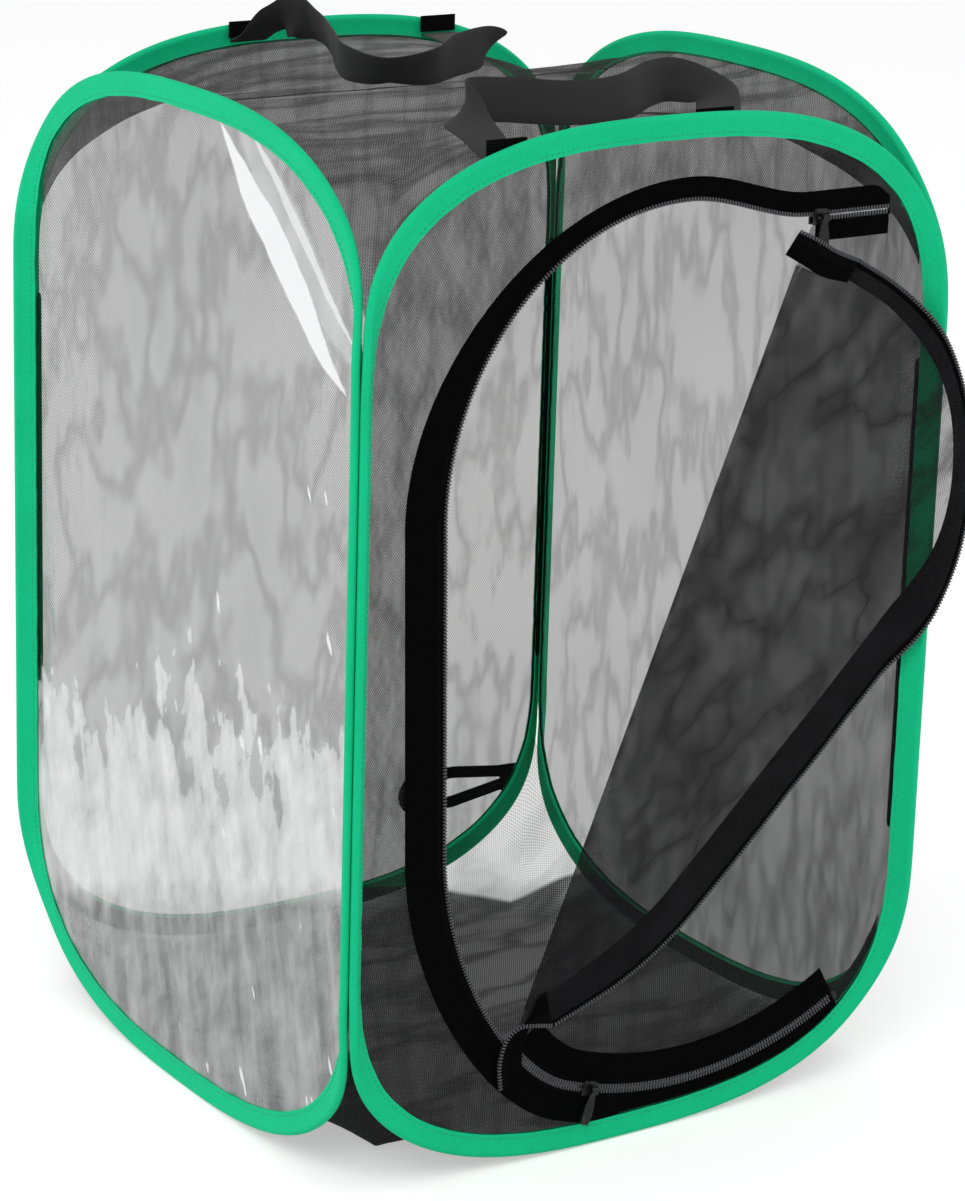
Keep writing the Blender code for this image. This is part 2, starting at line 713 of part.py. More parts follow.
def flap_edge(line, inset):
    """The open run of the zip line, moved inwards, as far as the flap's cut ends."""
    notch_r, slope_r = FLAP_NOTCH
    points = []
    for p, n in zip(line, side_normals(line)):
        moved = p - n * inset
        left = -right_of_crease(moved)
        height = along_crease(moved)
        limit = FLAP_HEAD + (FLAP_SLOPE_HEAD - FLAP_HEAD) * smoothstep((left - notch_r) / (slope_r - notch_r))
        if left > FLAP_CHAIN_START and FLAP_FOOT < height < limit + inset:
            points.append((p, n))
    return points


def make_flap(line):
    """The open half of the door: net, facing tape and chain, swung back over the crease."""
    y_net = -PANEL_Y - CREASE_STANDOFF
    y_tape = y_net - TAPE_Y
    edge = flap_edge(line, NET_EDGE_INSET)

    def from_crease(left, height):
        point = Vector(CREASE_FOOT) + crease_way() * height - crease_right_way() * left
        return (point.x, point.y)

    outline = [from_crease(CREASE_GAP, FLAP_HEAD), from_crease(FLAP_NOTCH[0], FLAP_HEAD)]
    outline += [(p.x - n.x * NET_EDGE_INSET, p.y - n.y * NET_EDGE_INSET) for p, n in edge]
    outline += [from_crease(CREASE_GAP, FLAP_FOOT)]
    half = NET_THICKNESS / 2
    flap_place(prism("flap_net", outline, y_net - half, y_net + half, BLACK_NET))
    run = [p for p, n in edge]
    normals = [n for p, n in edge]
    flap_place(make_strip("flap_tape", run, normals, FACING_IN, facing_width, -1, y_tape,
                          FACING_THICKNESS, BLACK_TAPE))
    flap_place(make_strip("flap_chain", run, normals, CHAIN_GAP / 2, CHAIN_OUT, -1, y_tape,
                          CHAIN_THICKNESS, ZIP_NYLON))


# Sliders

def zip_placing(point, direction, out):
    """Place of a piece on the zip line, turned along it and moved out from the facing's middle."""
    angle = math.atan2(direction.y, direction.x)
    place = (point.x, -PANEL_Y - TAPE_Y - out, point.y)
    return Matrix.Translation(place) @ Matrix.Rotation(-angle, 4, "Y")


def make_slider(name, point, direction):
    """Zip slider: two flanged plates, a neck between the chain halves and a bridge for the pull.

    Built with its travel along +X, its outer side to -Y and the zip line at its middle.
    """
    half_long = SLIDER_LENGTH / 2
    half_wide = CHAIN_OUT + SLIDER_PLAY + SLIDER_PLATE
    channel = CHAIN_THICKNESS / 2 + SLIDER_PLAY
    outer = channel + SLIDER_PLATE
    slot = FACING_THICKNESS / 2 + GAP
    shoulder_x = half_long * SLIDER_SHOULDER[0]
    shoulder_z = half_wide * SLIDER_SHOULDER[1]
    nose_z = half_wide * SLIDER_TAPER
    flange_x = half_long * SLIDER_FLANGE_END
    shapes = []
    for side in (-1, 1):
        near, far = sorted((side * channel, side * outer))
        outline = [(-half_long, -half_wide), (shoulder_x, -shoulder_z), (half_long, -nose_z),
                   (half_long, nose_z), (shoulder_x, shoulder_z), (-half_long, half_wide)]
        shapes.append(prism(name + "_plate", outline, near, far, ZIP_METAL, True))
        for edge in (-1, 1):
            inner_z = edge * (half_wide - SLIDER_PLATE * 0.9)
            outer_z = edge * half_wide
            z_low, z_high = sorted((inner_z, outer_z))
            y_low, y_high = sorted((side * slot, side * (channel + SLIDER_PLATE / 2)))
            flange = [(-half_long, z_low), (flange_x, z_low), (flange_x, z_high), (-half_long, z_high)]
            shapes.append(prism(name + "_flange", flange, y_low, y_high, ZIP_METAL, True))
    neck_x = half_long * SLIDER_NECK_END
    neck = [(-half_long, -SLIDER_NECK / 2), (neck_x, -SLIDER_NECK / 2),
            (neck_x, SLIDER_NECK / 2), (-half_long, SLIDER_NECK / 2)]
    reach = channel + SLIDER_PLATE / 2
    shapes.append(prism(name + "_neck", neck, -reach, reach, ZIP_METAL, True))
    half_bar = BRIDGE_DIAMETER / 2
    post_in = KNUCKLE_WIDTH / 2 + GAP
    post_out = post_in + BRIDGE_DIAMETER
    arch = [(-post_out, -reach), (-post_out * ARCH_TAPER, -BRIDGE_Y - half_bar),
            (post_out * ARCH_TAPER, -BRIDGE_Y - half_bar), (post_out, -reach),
            (post_in, -reach), (post_in, -BRIDGE_Y + half_bar),
            (-post_in, -BRIDGE_Y + half_bar), (-post_in, -reach)]
    shapes.append(arch_prism(name + "_arch", arch, half_bar))
    body = add_object(name, bmesh.new(), ZIP_METAL)
    for shape in shapes:
        add_boolean(body, shape, "UNION")
    for obj in shapes + [body]:
        obj.matrix_world = zip_placing(point, direction, 0.0)
    return body


def arch_prism(name, outline, half_width):
    """The bridge over the slider, as an outline of (x, y) points extruded along Z."""
    bm = bmesh.new()
    face = bm.faces.new([bm.verts.new((x, y, -half_width)) for x, y in outline])
    grown = bmesh.ops.extrude_face_region(bm, geom=[face])
    moved = [item for item in grown["geom"] if isinstance(item, bmesh.types.BMVert)]
    bmesh.ops.translate(bm, verts=moved, vec=(0.0, 0.0, 2 * half_width))
    obj = add_object(name, bm, ZIP_METAL)
    obj.hide_render = True
    obj.display_type = "WIRE"
    return obj


def make_pull(name, point, direction):
    """Pull tab that hangs from the slider's bridge, with a knuckle round the bridge's bar."""
    inner = BRIDGE_DIAMETER / 2 * math.sqrt(2) + GAP
    outer = inner + KNUCKLE_WALL
    half = KNUCKLE_WIDTH / 2
    sides = 12
    bm = bmesh.new()
    loops = []
    for radius in (outer, inner):
        for x in (-half, half):
            loops.append([bm.verts.new((x, radius * math.cos(a), radius * math.sin(a)))
                          for a in (2 * math.pi * k / sides for k in range(sides))])
    outer_low, outer_high, inner_low, inner_high = loops
    for first, second in ((outer_low, outer_high), (outer_high, inner_high),
                          (inner_high, inner_low), (inner_low, outer_low)):
        for i in range(sides):
            j = (i + 1) % sides
            bm.faces.new((first[i], first[j], second[j], second[i]))
    knuckle = add_object(name, bm, ZIP_METAL, 40.0)
    root = -(inner + KNUCKLE_WALL * 0.5)
    root_x = half * PULL_ROOT_WIDTH
    wide = PULL_WIDTH / 2
    tip_x = wide * PULL_TIP[0]
    right_side = [(tip_x, -PULL_LENGTH), (wide, -PULL_LENGTH * PULL_TIP[1]),
                  (wide, root - PULL_LENGTH * PULL_SHOULDER), (root_x, root - KNUCKLE_WALL * 2), (root_x, root)]
    outline = [(-x, z) for x, z in reversed(right_side)] + right_side
    blade = prism(name + "_blade", outline, -PULL_THICKNESS / 2, PULL_THICKNESS / 2, ZIP_METAL, True)
    add_boolean(knuckle, blade, "UNION")
    for obj in (knuckle, blade):
        obj.matrix_world = zip_placing(point, direction, BRIDGE_Y)
    return knuckle


# Handles and strap

def front_handle_keys():
    """Route of the front handle over the roof, with the way its width faces at each point."""
    left, right = FRONT_HANDLE_X
    top = CAGE_HEIGHT
    side = CAGE_SIDE
    y = -handle_seam_y()
    return [((left, y, seam_height(left)), (1.0, 0.0, 0.0)),
            ((left + 0.01 * side, y + 0.07 * side, top - 0.025 * side), (1.00, 0.05, 0.10)),
            ((left + 0.025 * side, y + 0.135 * side, top - 0.01 * side), (0.85, 0.15, 0.45)),
            ((left + 0.0575 * side, y + 0.175 * side, top + 0.0025 * side), (0.35, 0.25, 0.90)),
            ((left + 0.1075 * side, y + 0.1675 * side, top + 0.0025 * side), (0.05, 0.35, 0.93)),
            ((left + 0.1875 * side, y + 0.12 * side, top), (0.00, 0.42, 0.91)),
            ((left + 0.27 * side, y + 0.1175 * side, top + 0.0025 * side), (0.05, 0.40, 0.92)),
            ((left + 0.355 * side, y + 0.17 * side, top + 0.0075 * side), (0.15, 0.33, 0.93)),
            ((left + 0.4175 * side, y + 0.195 * side, top + 0.005 * side), (0.45, 0.15, 0.88)),
            ((right + 0.115 * side, y + 0.155 * side, top - 0.0075 * side), (0.85, 0.15, 0.45)),
            ((right + 0.07 * side, y + 0.08 * side, top - 0.02 * side), (0.95, -0.20, 0.10)),
            ((right, y, seam_height(right)), (1.0, 0.0, 0.0))]


def back_handle_keys():
    """Route of the back handle, which stands up beside the loop at its left end."""
    left, right = BACK_HANDLE_X
    top = CAGE_HEIGHT
    side = CAGE_SIDE
    y = handle_seam_y()
    return [((left, y, seam_height(left)), (1.0, 0.0, 0.0)),
            ((left - 0.0125 * side, y - 0.055 * side, top - 0.0075 * side), (1.0, 0.0, 0.0)),
            ((left - 0.0025 * side, y - 0.095 * side, top + 0.02 * side), (0.80, -0.40, -0.20)),
            ((left + 0.03 * side, y - 0.125 * side, top + 0.02 * side), (0.30, -0.60, -0.70)),
            ((left + 0.02 * side, y - 0.195 * side, top + 0.01 * side), (0.20, -0.30, -0.93)),
            ((left - 0.04 * side, y - 0.32 * side, top + 0.0075 * side), (0.20, 0.10, -0.97)),
            ((left - 0.075 * side, y - 0.41 * side, top + 0.005 * side), (0.35, 0.45, -0.82)),
            ((left - 0.0575 * side, y - 0.48 * side, top + 0.0025 * side), (0.25, 0.70, -0.65)),
            ((left + 0.01 * side, y - 0.495 * side, top + 0.005 * side), (0.05, 0.45, -0.88)),
            ((left + 0.09 * side, y - 0.44 * side, top + 0.0075 * side), (0.00, 0.00, -1.00)),
            ((right - 0.185 * side, y - 0.395 * side, top + 0.0075 * side), (-0.30, -0.20, -0.92)),
            ((right - 0.135 * side, y - 0.35 * side, top + 0.0025 * side), (-0.80, 0.00, -0.55)),
            ((right - 0.11 * side, y - 0.2625 * side, top - 0.01 * side), (-0.95, 0.20, -0.15)),
            ((right - 0.05 * side, y - 0.12 * side, top - 0.025 * side), (-0.97, 0.20, -0.05)),
            ((right, y, seam_height(right)), (-1.0, 0.0, 0.0))]


def handle_seam_y():
    return PANEL_Y - HALF_BULGE - GAP - WEBBING_THICKNESS - GAP - WEBBING_THICKNESS / 2


def seam_height(x):
    """Where a handle leaves the loop: just above the roof's seam at the webbing's higher edge."""
    highest_x = max(0.0, abs(x) - WEBBING_WIDTH / 2)
    edge = CAGE_HEIGHT - loop_height(LOOP_HALF - highest_x)
    return edge + SHEET_SEAM_LIFT + NET_THICKNESS + WEBBING_THICKNESS / 2 + GAP * 2


def make_handle(name, keys):
    """Webbing swept along its route, with its origin on the line between its sewn ends."""
    places = [Vector(p) for p, across in keys]
    across = [Vector(a).normalized() for p, a in keys]
    route = smooth_route(places, HANDLE_STEPS)
    facing = smooth_route(across, HANDLE_STEPS)
    rings = []
    for i, point in enumerate(route):
        tangent = route[min(i + 1, len(route) - 1)] - route[max(i - 1, 0)]
        if i in (0, len(route) - 1):
            tangent = tangent - facing[i] * tangent.dot(facing[i])
        tangent.normalize()
        wide = (facing[i] - tangent * facing[i].dot(tangent)).normalized()
        flat = tangent.cross(wide)
        w = wide * WEBBING_WIDTH / 2
        t = flat * WEBBING_THICKNESS / 2
        rings.append([point - w - t, point + w - t, point + w + t, point - w + t])
    obj = loft(name, rings, WEBBING)
    set_origin(obj, places[0])
    return obj


def make_handle_end(name, x, y_sign):
    """End of the webbing, sewn flat to the inner face of the loop's tape."""
    low = seam_height(x) + HANDLE_END_LIFT - WEBBING_THICKNESS / 2
    y_near = PANEL_Y - HALF_BULGE - GAP
    y_far = y_near - WEBBING_THICKNESS
    y_low, y_high = sorted((y_sign * y_near, y_sign * y_far))
    half = WEBBING_WIDTH / 2
    high = low + HANDLE_END_HEIGHT
    outline = [(x - half, low), (x + half, low), (x + half, high), (x - half, high)]
    obj = prism(name, outline, y_low, y_high, WEBBING)
    set_origin(obj, (x, y_sign * y_near, low))
    return obj


def strap_y():
    return PANEL_Y + HALF_BULGE + GAP + STRAP_THICKNESS / 2


def strap_start_x():
    """Where the strap leaves its sewn end, just inside the loop's opening."""
    return loop_edge_x(STRAP_HEIGHT - STRAP_NECK / 2 - STRAP_WIDTH / 2) - GAP


def make_strap():
    """Flat loop of webbing behind the back net, narrow at its sewn end and open at its middle."""
    start_x = strap_start_x()
    y = strap_y()
    half = STRAP_SPREAD / 2
    end_x = start_x - STRAP_LENGTH
    middle_x = start_x - STRAP_LENGTH / 2
    path = [Vector((start_x, STRAP_HEIGHT + STRAP_NECK / 2)), Vector((middle_x, STRAP_HEIGHT + half))]
    for step in range(9):
        turn = math.pi * step / 8
        path.append(Vector((end_x + half - half * math.sin(turn), STRAP_HEIGHT + half * math.cos(turn))))
    path += [Vector((middle_x, STRAP_HEIGHT - half)), Vector((start_x, STRAP_HEIGHT - STRAP_NECK / 2))]
    normals = side_normals(path)
    normals[0] = Vector((0.0, 1.0))
    normals[-1] = Vector((0.0, -1.0))
    obj = make_strip("retaining_strap", path, normals, -STRAP_WIDTH / 2, STRAP_WIDTH / 2, 1, y,
                     STRAP_THICKNESS, WEBBING)
    set_origin(obj, (start_x, y + STRAP_THICKNESS / 2, STRAP_HEIGHT))


def make_strap_end():
    """The strap's sewn end, which lies on the outer face of the far corner's tape."""
    low = STRAP_HEIGHT - STRAP_NECK / 2 - STRAP_WIDTH / 2
    high = STRAP_HEIGHT + STRAP_NECK / 2 + STRAP_WIDTH / 2
    x_in = -strap_start_x() - GAP
    near = HALF_BULGE + GAP
    far = near + STRAP_END_THICKNESS
    rings = []
    for step in range(4):
        z = low + (high - low) * step / 3
        station = side_station(-1.0, z)
        ring = [Vector((x_in, -PANEL_Y - near, z))]
        for u, v in ((STRAP_END_IN, near), (STRAP_END_OUT, near), (STRAP_END_OUT, far), (STRAP_END_IN, far)):
            ring.append(section_point(station, u, v))
        ring.append(Vector((x_in, -PANEL_Y - far, z)))
        rings.append(ring)
    place_side(loft("strap_end", rings, WEBBING), "back")


def side_station(sign, z):
    """A station of a loop at a height, on its left side for -1 or its right for 1."""
    x = loop_edge_x(z)
    step = 0.001
    rise = loop_edge_x(z + step) - loop_edge_x(z - step)
    normal = Vector((2 * step, -rise)).normalized()
    return (sign * x, z, sign * normal.x, normal.y, fin_angle(z))


def main():
    clear_scene()
    stations = loop_stations()
    for side in SIDES:
        make_binding(side, stations)
        make_wire(side, stations)
        make_ferrule(side, stations)
    make_panel("window_film", "left", stations, FILM_THICKNESS, CLEAR_FILM)
    make_panel("right_net", "right", stations, NET_THICKNESS, BLACK_NET)
    make_panel("back_net", "back", stations, NET_THICKNESS, BLACK_NET)
    make_sheet("roof_net", roof_height, BLACK_NET)
    make_sheet("floor_net", floor_height, BLACK_NET)
    for name, sign_x, sign_y in (("front_left_seam", -1, -1), ("front_right_seam", 1, -1),
                                 ("back_left_seam", -1, 1), ("back_right_seam", 1, 1)):
        make_corner_seam(name, sign_x, sign_y)
    line = zip_line()
    make_front_net(line, stations)
    make_zip(line)
    make_flap(line)
    upper_z = line[0].y
    upper_point = Vector((upper_slider_x(), upper_z))
    lower_point = door_arc_point(LOWER_SLIDER_X)
    lower_way = (door_arc_point(LOWER_SLIDER_X + 0.001) - door_arc_point(LOWER_SLIDER_X - 0.001)).normalized()
    make_slider("upper_slider", upper_point, Vector((1.0, 0.0)))
    make_slider("lower_slider", lower_point, lower_way)
    make_pull("upper_pull", upper_point, Vector((1.0, 0.0)))
    make_pull("lower_pull", lower_point, lower_way)
    make_handle("front_handle", front_handle_keys())
    make_handle("back_handle", back_handle_keys())
    for name, x, y_sign in (("front_handle_end_left", FRONT_HANDLE_X[0], -1),
                            ("front_handle_end_right", FRONT_HANDLE_X[1], -1),
                            ("back_handle_end_left", BACK_HANDLE_X[0], 1),
                            ("back_handle_end_right", BACK_HANDLE_X[1], 1)):
        make_handle_end(name, x, y_sign)
    make_strap()
    make_strap_end()


main()
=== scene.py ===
"""Pop-up insect habitat cage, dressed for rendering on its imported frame."""

import logging
import math
from dataclasses import dataclass, field
from enum import Enum
from typing import Callable, Sequence

import bmesh
import bpy
import numpy as np
from bpy.types import Material, Node, NodeSocket, NodeTree, Object
from mathutils import Matrix, Vector, noise


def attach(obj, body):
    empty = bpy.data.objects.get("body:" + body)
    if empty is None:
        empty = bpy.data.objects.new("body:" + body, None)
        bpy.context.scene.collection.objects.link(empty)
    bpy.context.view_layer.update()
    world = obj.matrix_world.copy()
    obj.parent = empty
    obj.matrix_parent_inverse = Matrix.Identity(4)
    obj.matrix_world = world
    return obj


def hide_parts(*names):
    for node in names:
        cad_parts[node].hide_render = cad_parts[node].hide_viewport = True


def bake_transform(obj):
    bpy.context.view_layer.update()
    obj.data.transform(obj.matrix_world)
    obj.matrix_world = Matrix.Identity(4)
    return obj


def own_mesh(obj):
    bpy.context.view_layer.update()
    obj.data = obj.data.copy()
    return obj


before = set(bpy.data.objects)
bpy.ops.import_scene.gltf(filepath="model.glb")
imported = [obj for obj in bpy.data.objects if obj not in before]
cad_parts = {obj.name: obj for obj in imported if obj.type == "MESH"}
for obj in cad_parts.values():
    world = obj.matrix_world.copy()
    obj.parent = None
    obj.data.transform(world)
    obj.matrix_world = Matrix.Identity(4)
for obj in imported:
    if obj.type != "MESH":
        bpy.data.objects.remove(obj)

logging.basicConfig(level=logging.INFO, format="%(message)s")
LOG = logging.getLogger("cage")

IMAGE_HEIGHT = 1201
MM = 0.001
OUTWARDS = Vector((0.0, -1.0, 0.0))
HALVINGS = 22


class Side(Enum):
    """The four sides, by the quarter turn that takes the front's shapes to them."""

    FRONT = 0.0
    LEFT = -90.0
    RIGHT = 90.0
    BACK = 180.0

    @property
    def title(self) -> str:
        """Lower-case name for pieces."""
        return self.name.lower()

    @property
    def turn(self) -> Matrix:
        """Rotation about the upright axis from the front to this side."""
        return Matrix.Rotation(math.radians(self.value), 4, "Z")


BODY_OF = {Side.FRONT: "front_panel", Side.LEFT: "window_panel", Side.RIGHT: "right_panel",
           Side.BACK: "back_panel"}

# For each side's -x and +x half: the body across that corner, or None where the linkage is open.
NEIGHBOUR = {(Side.FRONT, -1): "window_panel", (Side.FRONT, 1): "right_panel",
             (Side.LEFT, 1): "front_panel", (Side.LEFT, -1): "back_panel",
             (Side.RIGHT, -1): "front_panel", (Side.RIGHT, 1): None,
             (Side.BACK, 1): "window_panel", (Side.BACK, -1): None}


def smoothstep(value: float) -> float:
    """Ease from 0 to 1."""
    t = min(1.0, max(0.0, value))
    return t * t * (3.0 - 2.0 * t)


def hashed(x: float, y: float = 0.0, z: float = 0.0) -> float:
    """Smooth noise in -1..1, the same on each run.

    Args:
        x: First coordinate.
        y: Second coordinate.
        z: Third coordinate.

    Returns:
        The noise value.
    """
    return noise.noise(Vector((x, y, z)))


@dataclass(frozen=True)
class CageSizes:
    """Sizes of the cage, the same ones that the solids are made from."""

    side: float = 0.400
    height: float = 0.600
    gap: float = 0.0003
    net: float = 0.0005
    cloth: float = 0.0006
    play: float = 0.0005
    tape: float = 0.014
    wire: float = 0.0020
    setback: float = 0.0003
    reach: float = 0.130
    power: float = 2.75
    fin_turn: float = math.radians(45.0)
    fin_start: float = 0.050
    fin_full: float = 0.125

    @property
    def hollow(self) -> float:
        """Half diagonal of the wire's pocket."""
        return (self.wire / 2 + self.gap) * math.sqrt(2)

    @property
    def half_bulge(self) -> float:
        """Half thickness of the tape over the wire."""
        return self.hollow + self.cloth

    @property
    def half_mouth(self) -> float:
        """Half width of the tape's mouth."""
        return self.net / 2 + self.play

    @property
    def half_edge(self) -> float:
        """Half thickness of the tape at its inner edge."""
        return self.half_mouth + self.cloth

    @property
    def wire_u(self) -> float:
        """How far out from the tape's inner edge the wire lies."""
        return self.tape - self.hollow - self.cloth * math.sqrt(2)

    @property
    def fin_offset(self) -> float:
        """Half distance between the two fins of a corner."""
        return self.gap / 2 + self.half_bulge

    @property
    def fin_root(self) -> float:
        """How far inside the bisector's start a fin begins."""
        return math.sqrt(2) * (self.setback + self.half_bulge) - self.fin_offset

    @property
    def hinge(self) -> float:
        """Distance of the corner's fold line from the middle."""
        out = (self.fin_root + self.wire_u + self.fin_offset + self.half_bulge) / math.sqrt(2)
        return self.side / 2 - out

    @property
    def panel_y(self) -> float:
        """Distance of a side's plane from the middle."""
        return self.hinge + self.setback + self.half_bulge

    @property
    def loop_half(self) -> float:
        """Half width of a loop, at the tape's inner edge."""
        return self.hinge - (self.fin_offset - self.fin_root) / math.sqrt(2)

    @property
    def roof_edge(self) -> float:
        """Half width of the top and floor nets."""
        return self.panel_y - self.half_edge - self.gap * 1.5

    def loop_edge_x(self, z: float) -> float:
        """Half width of a loop's opening at a height.

        Args:
            z: Height above the floor.

        Returns:
            The half width in metres.
        """
        height = min(z, self.height - z) - self.tape
        if height >= self.reach:
            return self.loop_half
        down = min(1.0, (self.reach - height) / self.reach)
        return self.loop_half * (1.0 - down ** self.power) ** (1.0 / self.power)

    def fin_angle(self, z: float) -> float:
        """How far the tape is turned out of its side's plane at a height."""
        height = min(z, self.height - z)
        return self.fin_turn * smoothstep((height - self.fin_start) / (self.fin_full - self.fin_start))

    def seam_rise(self, distance: float) -> float:
        """Height of the tape's inner edge above the floor, at a distance from the side's end."""
        across = min(1.0, max(0.0, (self.loop_half - distance) / self.loop_half))
        drop = self.reach * (1.0 - across ** self.power) ** (1.0 / self.power)
        return self.tape + self.reach - drop


CAGE = CageSizes()


@dataclass(frozen=True)
class Station:
    """A place on a loop: the tape's inner edge there, its outward normal and its turn."""

    x: float
    z: float
    nx: float
    nz: float
    turn: float
    run: float

    def point(self, u: float, v: float) -> Vector:
        """A point of the tape's section on the front side.

        Args:
            u: Distance outwards from the inner edge.
            v: Distance across the tape, towards the outside.

        Returns:
            The point in metres.
        """
        along = u * math.cos(self.turn) - v * math.sin(self.turn)
        out = u * math.sin(self.turn) + v * math.cos(self.turn)
        return Vector((self.x + along * self.nx, -CAGE.panel_y - out, self.z + along * self.nz))


def resample(points: Sequence[Vector], spacing: float) -> list[Vector]:
    """Even out a polyline.

    Args:
        points: The polyline's points.
        spacing: About how far apart the new points are.

    Returns:
        Points at equal steps, with both ends kept.
    """
    run = np.concatenate([[0.0], np.cumsum([(b - a).length for a, b in zip(points, points[1:])])])
    count = max(2, int(round(run[-1] / spacing)) + 1)
    wanted = np.linspace(0.0, run[-1], count)
    table = np.array([list(p) for p in points])
    columns = [np.interp(wanted, run, table[:, k]) for k in range(table.shape[1])]
    return [Vector(row) for row in np.stack(columns, axis=1)]


def half_loop(sign: int, spacing: float = 0.004) -> list[Station]:
    """Stations down one half of a loop, from its top middle to its bottom middle.

    Args:
        sign: 1 for the half at +x and -1 for the half at -x.
        spacing: Distance between stations.

    Returns:
        The stations in order.
    """
    top = CAGE.height - CAGE.tape - CAGE.reach
    foot = CAGE.tape + CAGE.reach
    quarter = []
    for step in range(241):
        turn = math.pi / 2 * step / 240
        x = CAGE.loop_half * math.sin(turn) ** (2.0 / CAGE.power)
        z = CAGE.reach * max(0.0, math.cos(turn)) ** (2.0 / CAGE.power)
        quarter.append((x, z if step < 240 else 0.0))
    line = [Vector((sign * x, top + z)) for x, z in quarter]
    line += [Vector((sign * x, foot - z)) for x, z in reversed(quarter)]
    even = resample(line, spacing)
    stations = []
    run = 0.0
    for i, p in enumerate(even):
        if i:
            run += (p - even[i - 1]).length
        tangent = even[min(i + 1, len(even) - 1)] - even[max(i - 1, 0)]
        if i in (0, len(even) - 1):
            tangent = Vector((tangent.x, 0.0))
        tangent.normalize()
        normal = Vector((-tangent.y, tangent.x)) * sign
        stations.append(Station(p.x, p.y, normal.x, normal.y, CAGE.fin_angle(p.y), run))
    return stations


# Finishes


class Pattern:
    """A number that varies over a piece, and that arithmetic carries on with Math nodes."""

    def __init__(self, tree: NodeTree, socket: NodeSocket) -> None:
        """Hold a node's output.

        Args:
            tree: The nodes that it is one of.
            socket: The output.
        """
        self.tree = tree
        self.socket = socket

    def maths(self, operation: str, *others: "Pattern | float", after: bool = False) -> "Pattern":
        """Add a Math node.

        Args:
            operation: What it does.
            others: Its inputs beside this pattern.
            after: Whether this pattern is its last input, not its first.

        Returns:
            The result.
        """
        made = self.tree.nodes.new("ShaderNodeMath")
        made.operation = operation
        for slot, value in zip(made.inputs, [*others, self] if after else [self, *others]):
            if isinstance(value, Pattern):
                self.tree.links.new(value.socket, slot)
            else:
                slot.default_value = value
        return Pattern(self.tree, made.outputs[0])

    def __add__(self, other: "Pattern | float") -> "Pattern":
        """This and another."""
        return self.maths("ADD", other)

    def __sub__(self, other: "Pattern | float") -> "Pattern":
        """This less another."""
        return self.maths("SUBTRACT", other)

    def __rsub__(self, other: float) -> "Pattern":
        """A number less this."""
        return self.maths("SUBTRACT", other, after=True)

    def __mul__(self, other: "Pattern | float") -> "Pattern":
        """This times another."""
        return self.maths("MULTIPLY", other)

    def __truediv__(self, other: float) -> "Pattern":
        """This over a number."""
        return self.maths("DIVIDE", other)

    def __abs__(self) -> "Pattern":
        """This without its sign."""
        return self.maths("ABSOLUTE")

    def held(self) -> "Pattern":
        """This, kept between 0 and 1."""
        self.socket.node.use_clamp = True
        return self

    def ribs(self, pitch: float) -> "Pattern":
        """Rounded ribs across this coordinate, 0 in the grooves and 1 on the crests.

        Args:
            pitch: Distance from rib to rib.

        Returns:
            The height of the ribs.
        """
        return abs((self * (math.pi / pitch)).maths("SINE"))


